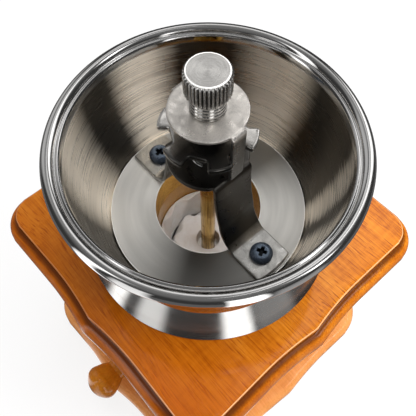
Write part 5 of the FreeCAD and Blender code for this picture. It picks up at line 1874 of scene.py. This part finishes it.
@dataclass
class Studio:
    """White table, soft lights and the camera of the photograph.

    lights are (name, place, size, power) in metres and watts. ceiling is a range of directions' heights and
    the brightness that metal mirrors at either end of it.
    """

    camera_at: Triple = (71.5, -64.7, 330.3)
    camera_aim: Triple = (1.3, -1.2, 147.0)
    lens: float = 44.57
    lights: tuple[tuple[str, Triple, float, float], ...] = (
        ("key", (0.45, 0.40, 0.62), 0.45, 7.0),
        ("fill", (-0.55, -0.55, 0.60), 0.6, 2.0),
        ("top", (0.0, 0.10, 0.95), 0.5, 6.0),
    )
    light_aim: Triple = (0.0, 0.0, 0.12)
    table_mirrored: float = 0.12
    table_clear: float = 0.80
    room_light: float = 0.42
    ceiling: tuple[float, float, float, float] = (0.60, 0.95, 0.04, 0.16)
    softboxes: tuple[Softbox, ...] = (
        Softbox(94.0, 12.0, 24.0, 58.0, 1.5, 6.0),
        Softbox(137.0, 12.0, 38.0, 57.0, 1.0, 6.0),
        Softbox(167.0, 9.0, 60.0, 80.0, 0.15, 6.0),
        Softbox(107.0, 8.0, 60.0, 78.0, 1.8, 6.0),
        Softbox(5.0, 12.0, -20.0, 16.0, 0.22),
        Softbox(185.0, 15.0, 8.0, 50.0, 0.45, 8.0),
        Softbox(-108.0, 4.0, -20.0, 60.0, 1.6),
        Softbox(-82.0, 8.0, -20.0, 30.0, 0.9),
        Softbox(-22.0, 9.0, -20.0, 40.0, 1.7, 3.0),
        Softbox(34.0, 6.0, 46.0, 62.0, 3.5),
    )

    def build(self) -> None:
        """Set up table, world, lights and camera."""
        self.table()
        self.world()
        for light in self.lights:
            self.light(*light)
        self.camera()
        bpy.context.scene.view_settings.view_transform = "Standard"

    def table(self) -> None:
        """Lay the table: white to the eye, with a soft shadow, and dim in the metal."""
        bm = bmesh.new()
        bmesh.ops.create_grid(bm, x_segments=1, y_segments=1, size=3.0)
        top = link(bpy.data.objects.new("table", mesh_of(bm, outward=False)))
        made = bpy.data.materials.new("white_table")
        made.use_nodes = True
        tree = Tree(made.node_tree)
        matt = made.node_tree.nodes["Principled BSDF"]
        tree.give(matt, {"Base Color": (0.86, 0.86, 0.86, 1.0), "Roughness": 0.8})
        flat = tree.vector("NORMALIZE", tree.place())
        low = [softbox.shine(tree, flat, 0.0) for softbox in self.softboxes if softbox.low < 0.0]
        mirrored = tree.plus(self.table_mirrored, *low)
        path = tree.add("ShaderNodeLightPath").outputs
        clear = tree.math("MAXIMUM", path["Is Camera Ray"], path["Is Transmission Ray"])
        strength = tree.plus(clear, tree.times(path["Is Glossy Ray"], mirrored))
        glow = tree.add("ShaderNodeEmission", {"Color": (1.0, 1.0, 1.0, 1.0), "Strength": strength})
        share = tree.plus(tree.times(clear, self.table_clear), path["Is Glossy Ray"])
        mixed = tree.add("ShaderNodeMixShader", {0: share, 1: matt.outputs[0], 2: glow.outputs[0]})
        tree.feed(made.node_tree.nodes["Material Output"].inputs["Surface"], mixed.outputs[0])
        top.data.materials.append(made)

    def world(self) -> None:
        """Give the room an even light, a white background and softboxes for the metal to mirror."""
        made = bpy.data.worlds.new("room")
        bpy.context.scene.world = made
        made.use_nodes = True
        tree = Tree(made.node_tree)
        ground = made.node_tree.nodes["Background"]
        ground.inputs["Color"].default_value = (1.0, 1.0, 1.0, 1.0)
        x, y, z = tree.parts(tree.add("ShaderNodeTexCoord").outputs["Generated"])
        flat = tree.vector("NORMALIZE", tree.joined(x, y))
        boxes = [softbox.shine(tree, flat, z) for softbox in self.softboxes]
        mirrored = tree.plus(tree.band(z, *self.ceiling), *boxes)
        path = tree.add("ShaderNodeLightPath").outputs
        clear = tree.math("MAXIMUM", path["Is Camera Ray"], path["Is Transmission Ray"])
        soft = tree.times(path["Is Diffuse Ray"], self.room_light)
        strength = tree.plus(soft, clear, tree.times(mirrored, path["Is Glossy Ray"]))
        tree.feed(ground.inputs["Strength"], strength)

    def light(self, name: str, place: Triple, size: float, power: float) -> None:
        """Hang a square soft light that faces the mill.

        Args:
            name: Name of the light.
            place: Where it hangs, in metres.
            size: Length of its side, in metres.
            power: Its power, in watts.
        """
        lamp = bpy.data.lights.new(name, "AREA")
        lamp.size = size
        lamp.energy = power
        made = self.hung(name, lamp, Vector(place), Vector(self.light_aim) - Vector(place))
        made.visible_glossy = False

    def camera(self) -> None:
        """Place the camera where the photograph was taken."""
        lens = bpy.data.cameras.new("camera")
        lens.lens = self.lens
        lens.sensor_width = 36.0
        lens.clip_start = 0.01
        way = Vector(self.camera_aim) - Vector(self.camera_at)
        bpy.context.scene.camera = self.hung("camera", lens, Vector(self.camera_at) * MM, way)

    @staticmethod
    def hung(name: str, data: bpy.types.ID, place: Vector, way: Vector) -> bpy.types.Object:
        """Make an object of a light or camera.

        Args:
            name: Name of the object.
            data: The light or camera.
            place: Where it is, in metres.
            way: The direction that it looks in.

        Returns:
            The object, in the scene.
        """
        made = link(bpy.data.objects.new(name, data))
        made.location = place
        made.rotation_euler = way.to_track_quat("-Z", "Y").to_euler()
        return made


def main() -> None:
    """Build the mill's sub-assemblies in order, then the studio."""
    logging.basicConfig(level=logging.INFO, format="%(message)s")
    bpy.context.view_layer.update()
    for part in (Boards(), Box(), Drawer(), Hopper(), Bridge(), Spindle(), ThumbNut(), Burrs(), Underside()):
        part.build()
        log.info("built %s", type(part).__name__)
    Studio().build()


if __name__ == "__main__":
    main()
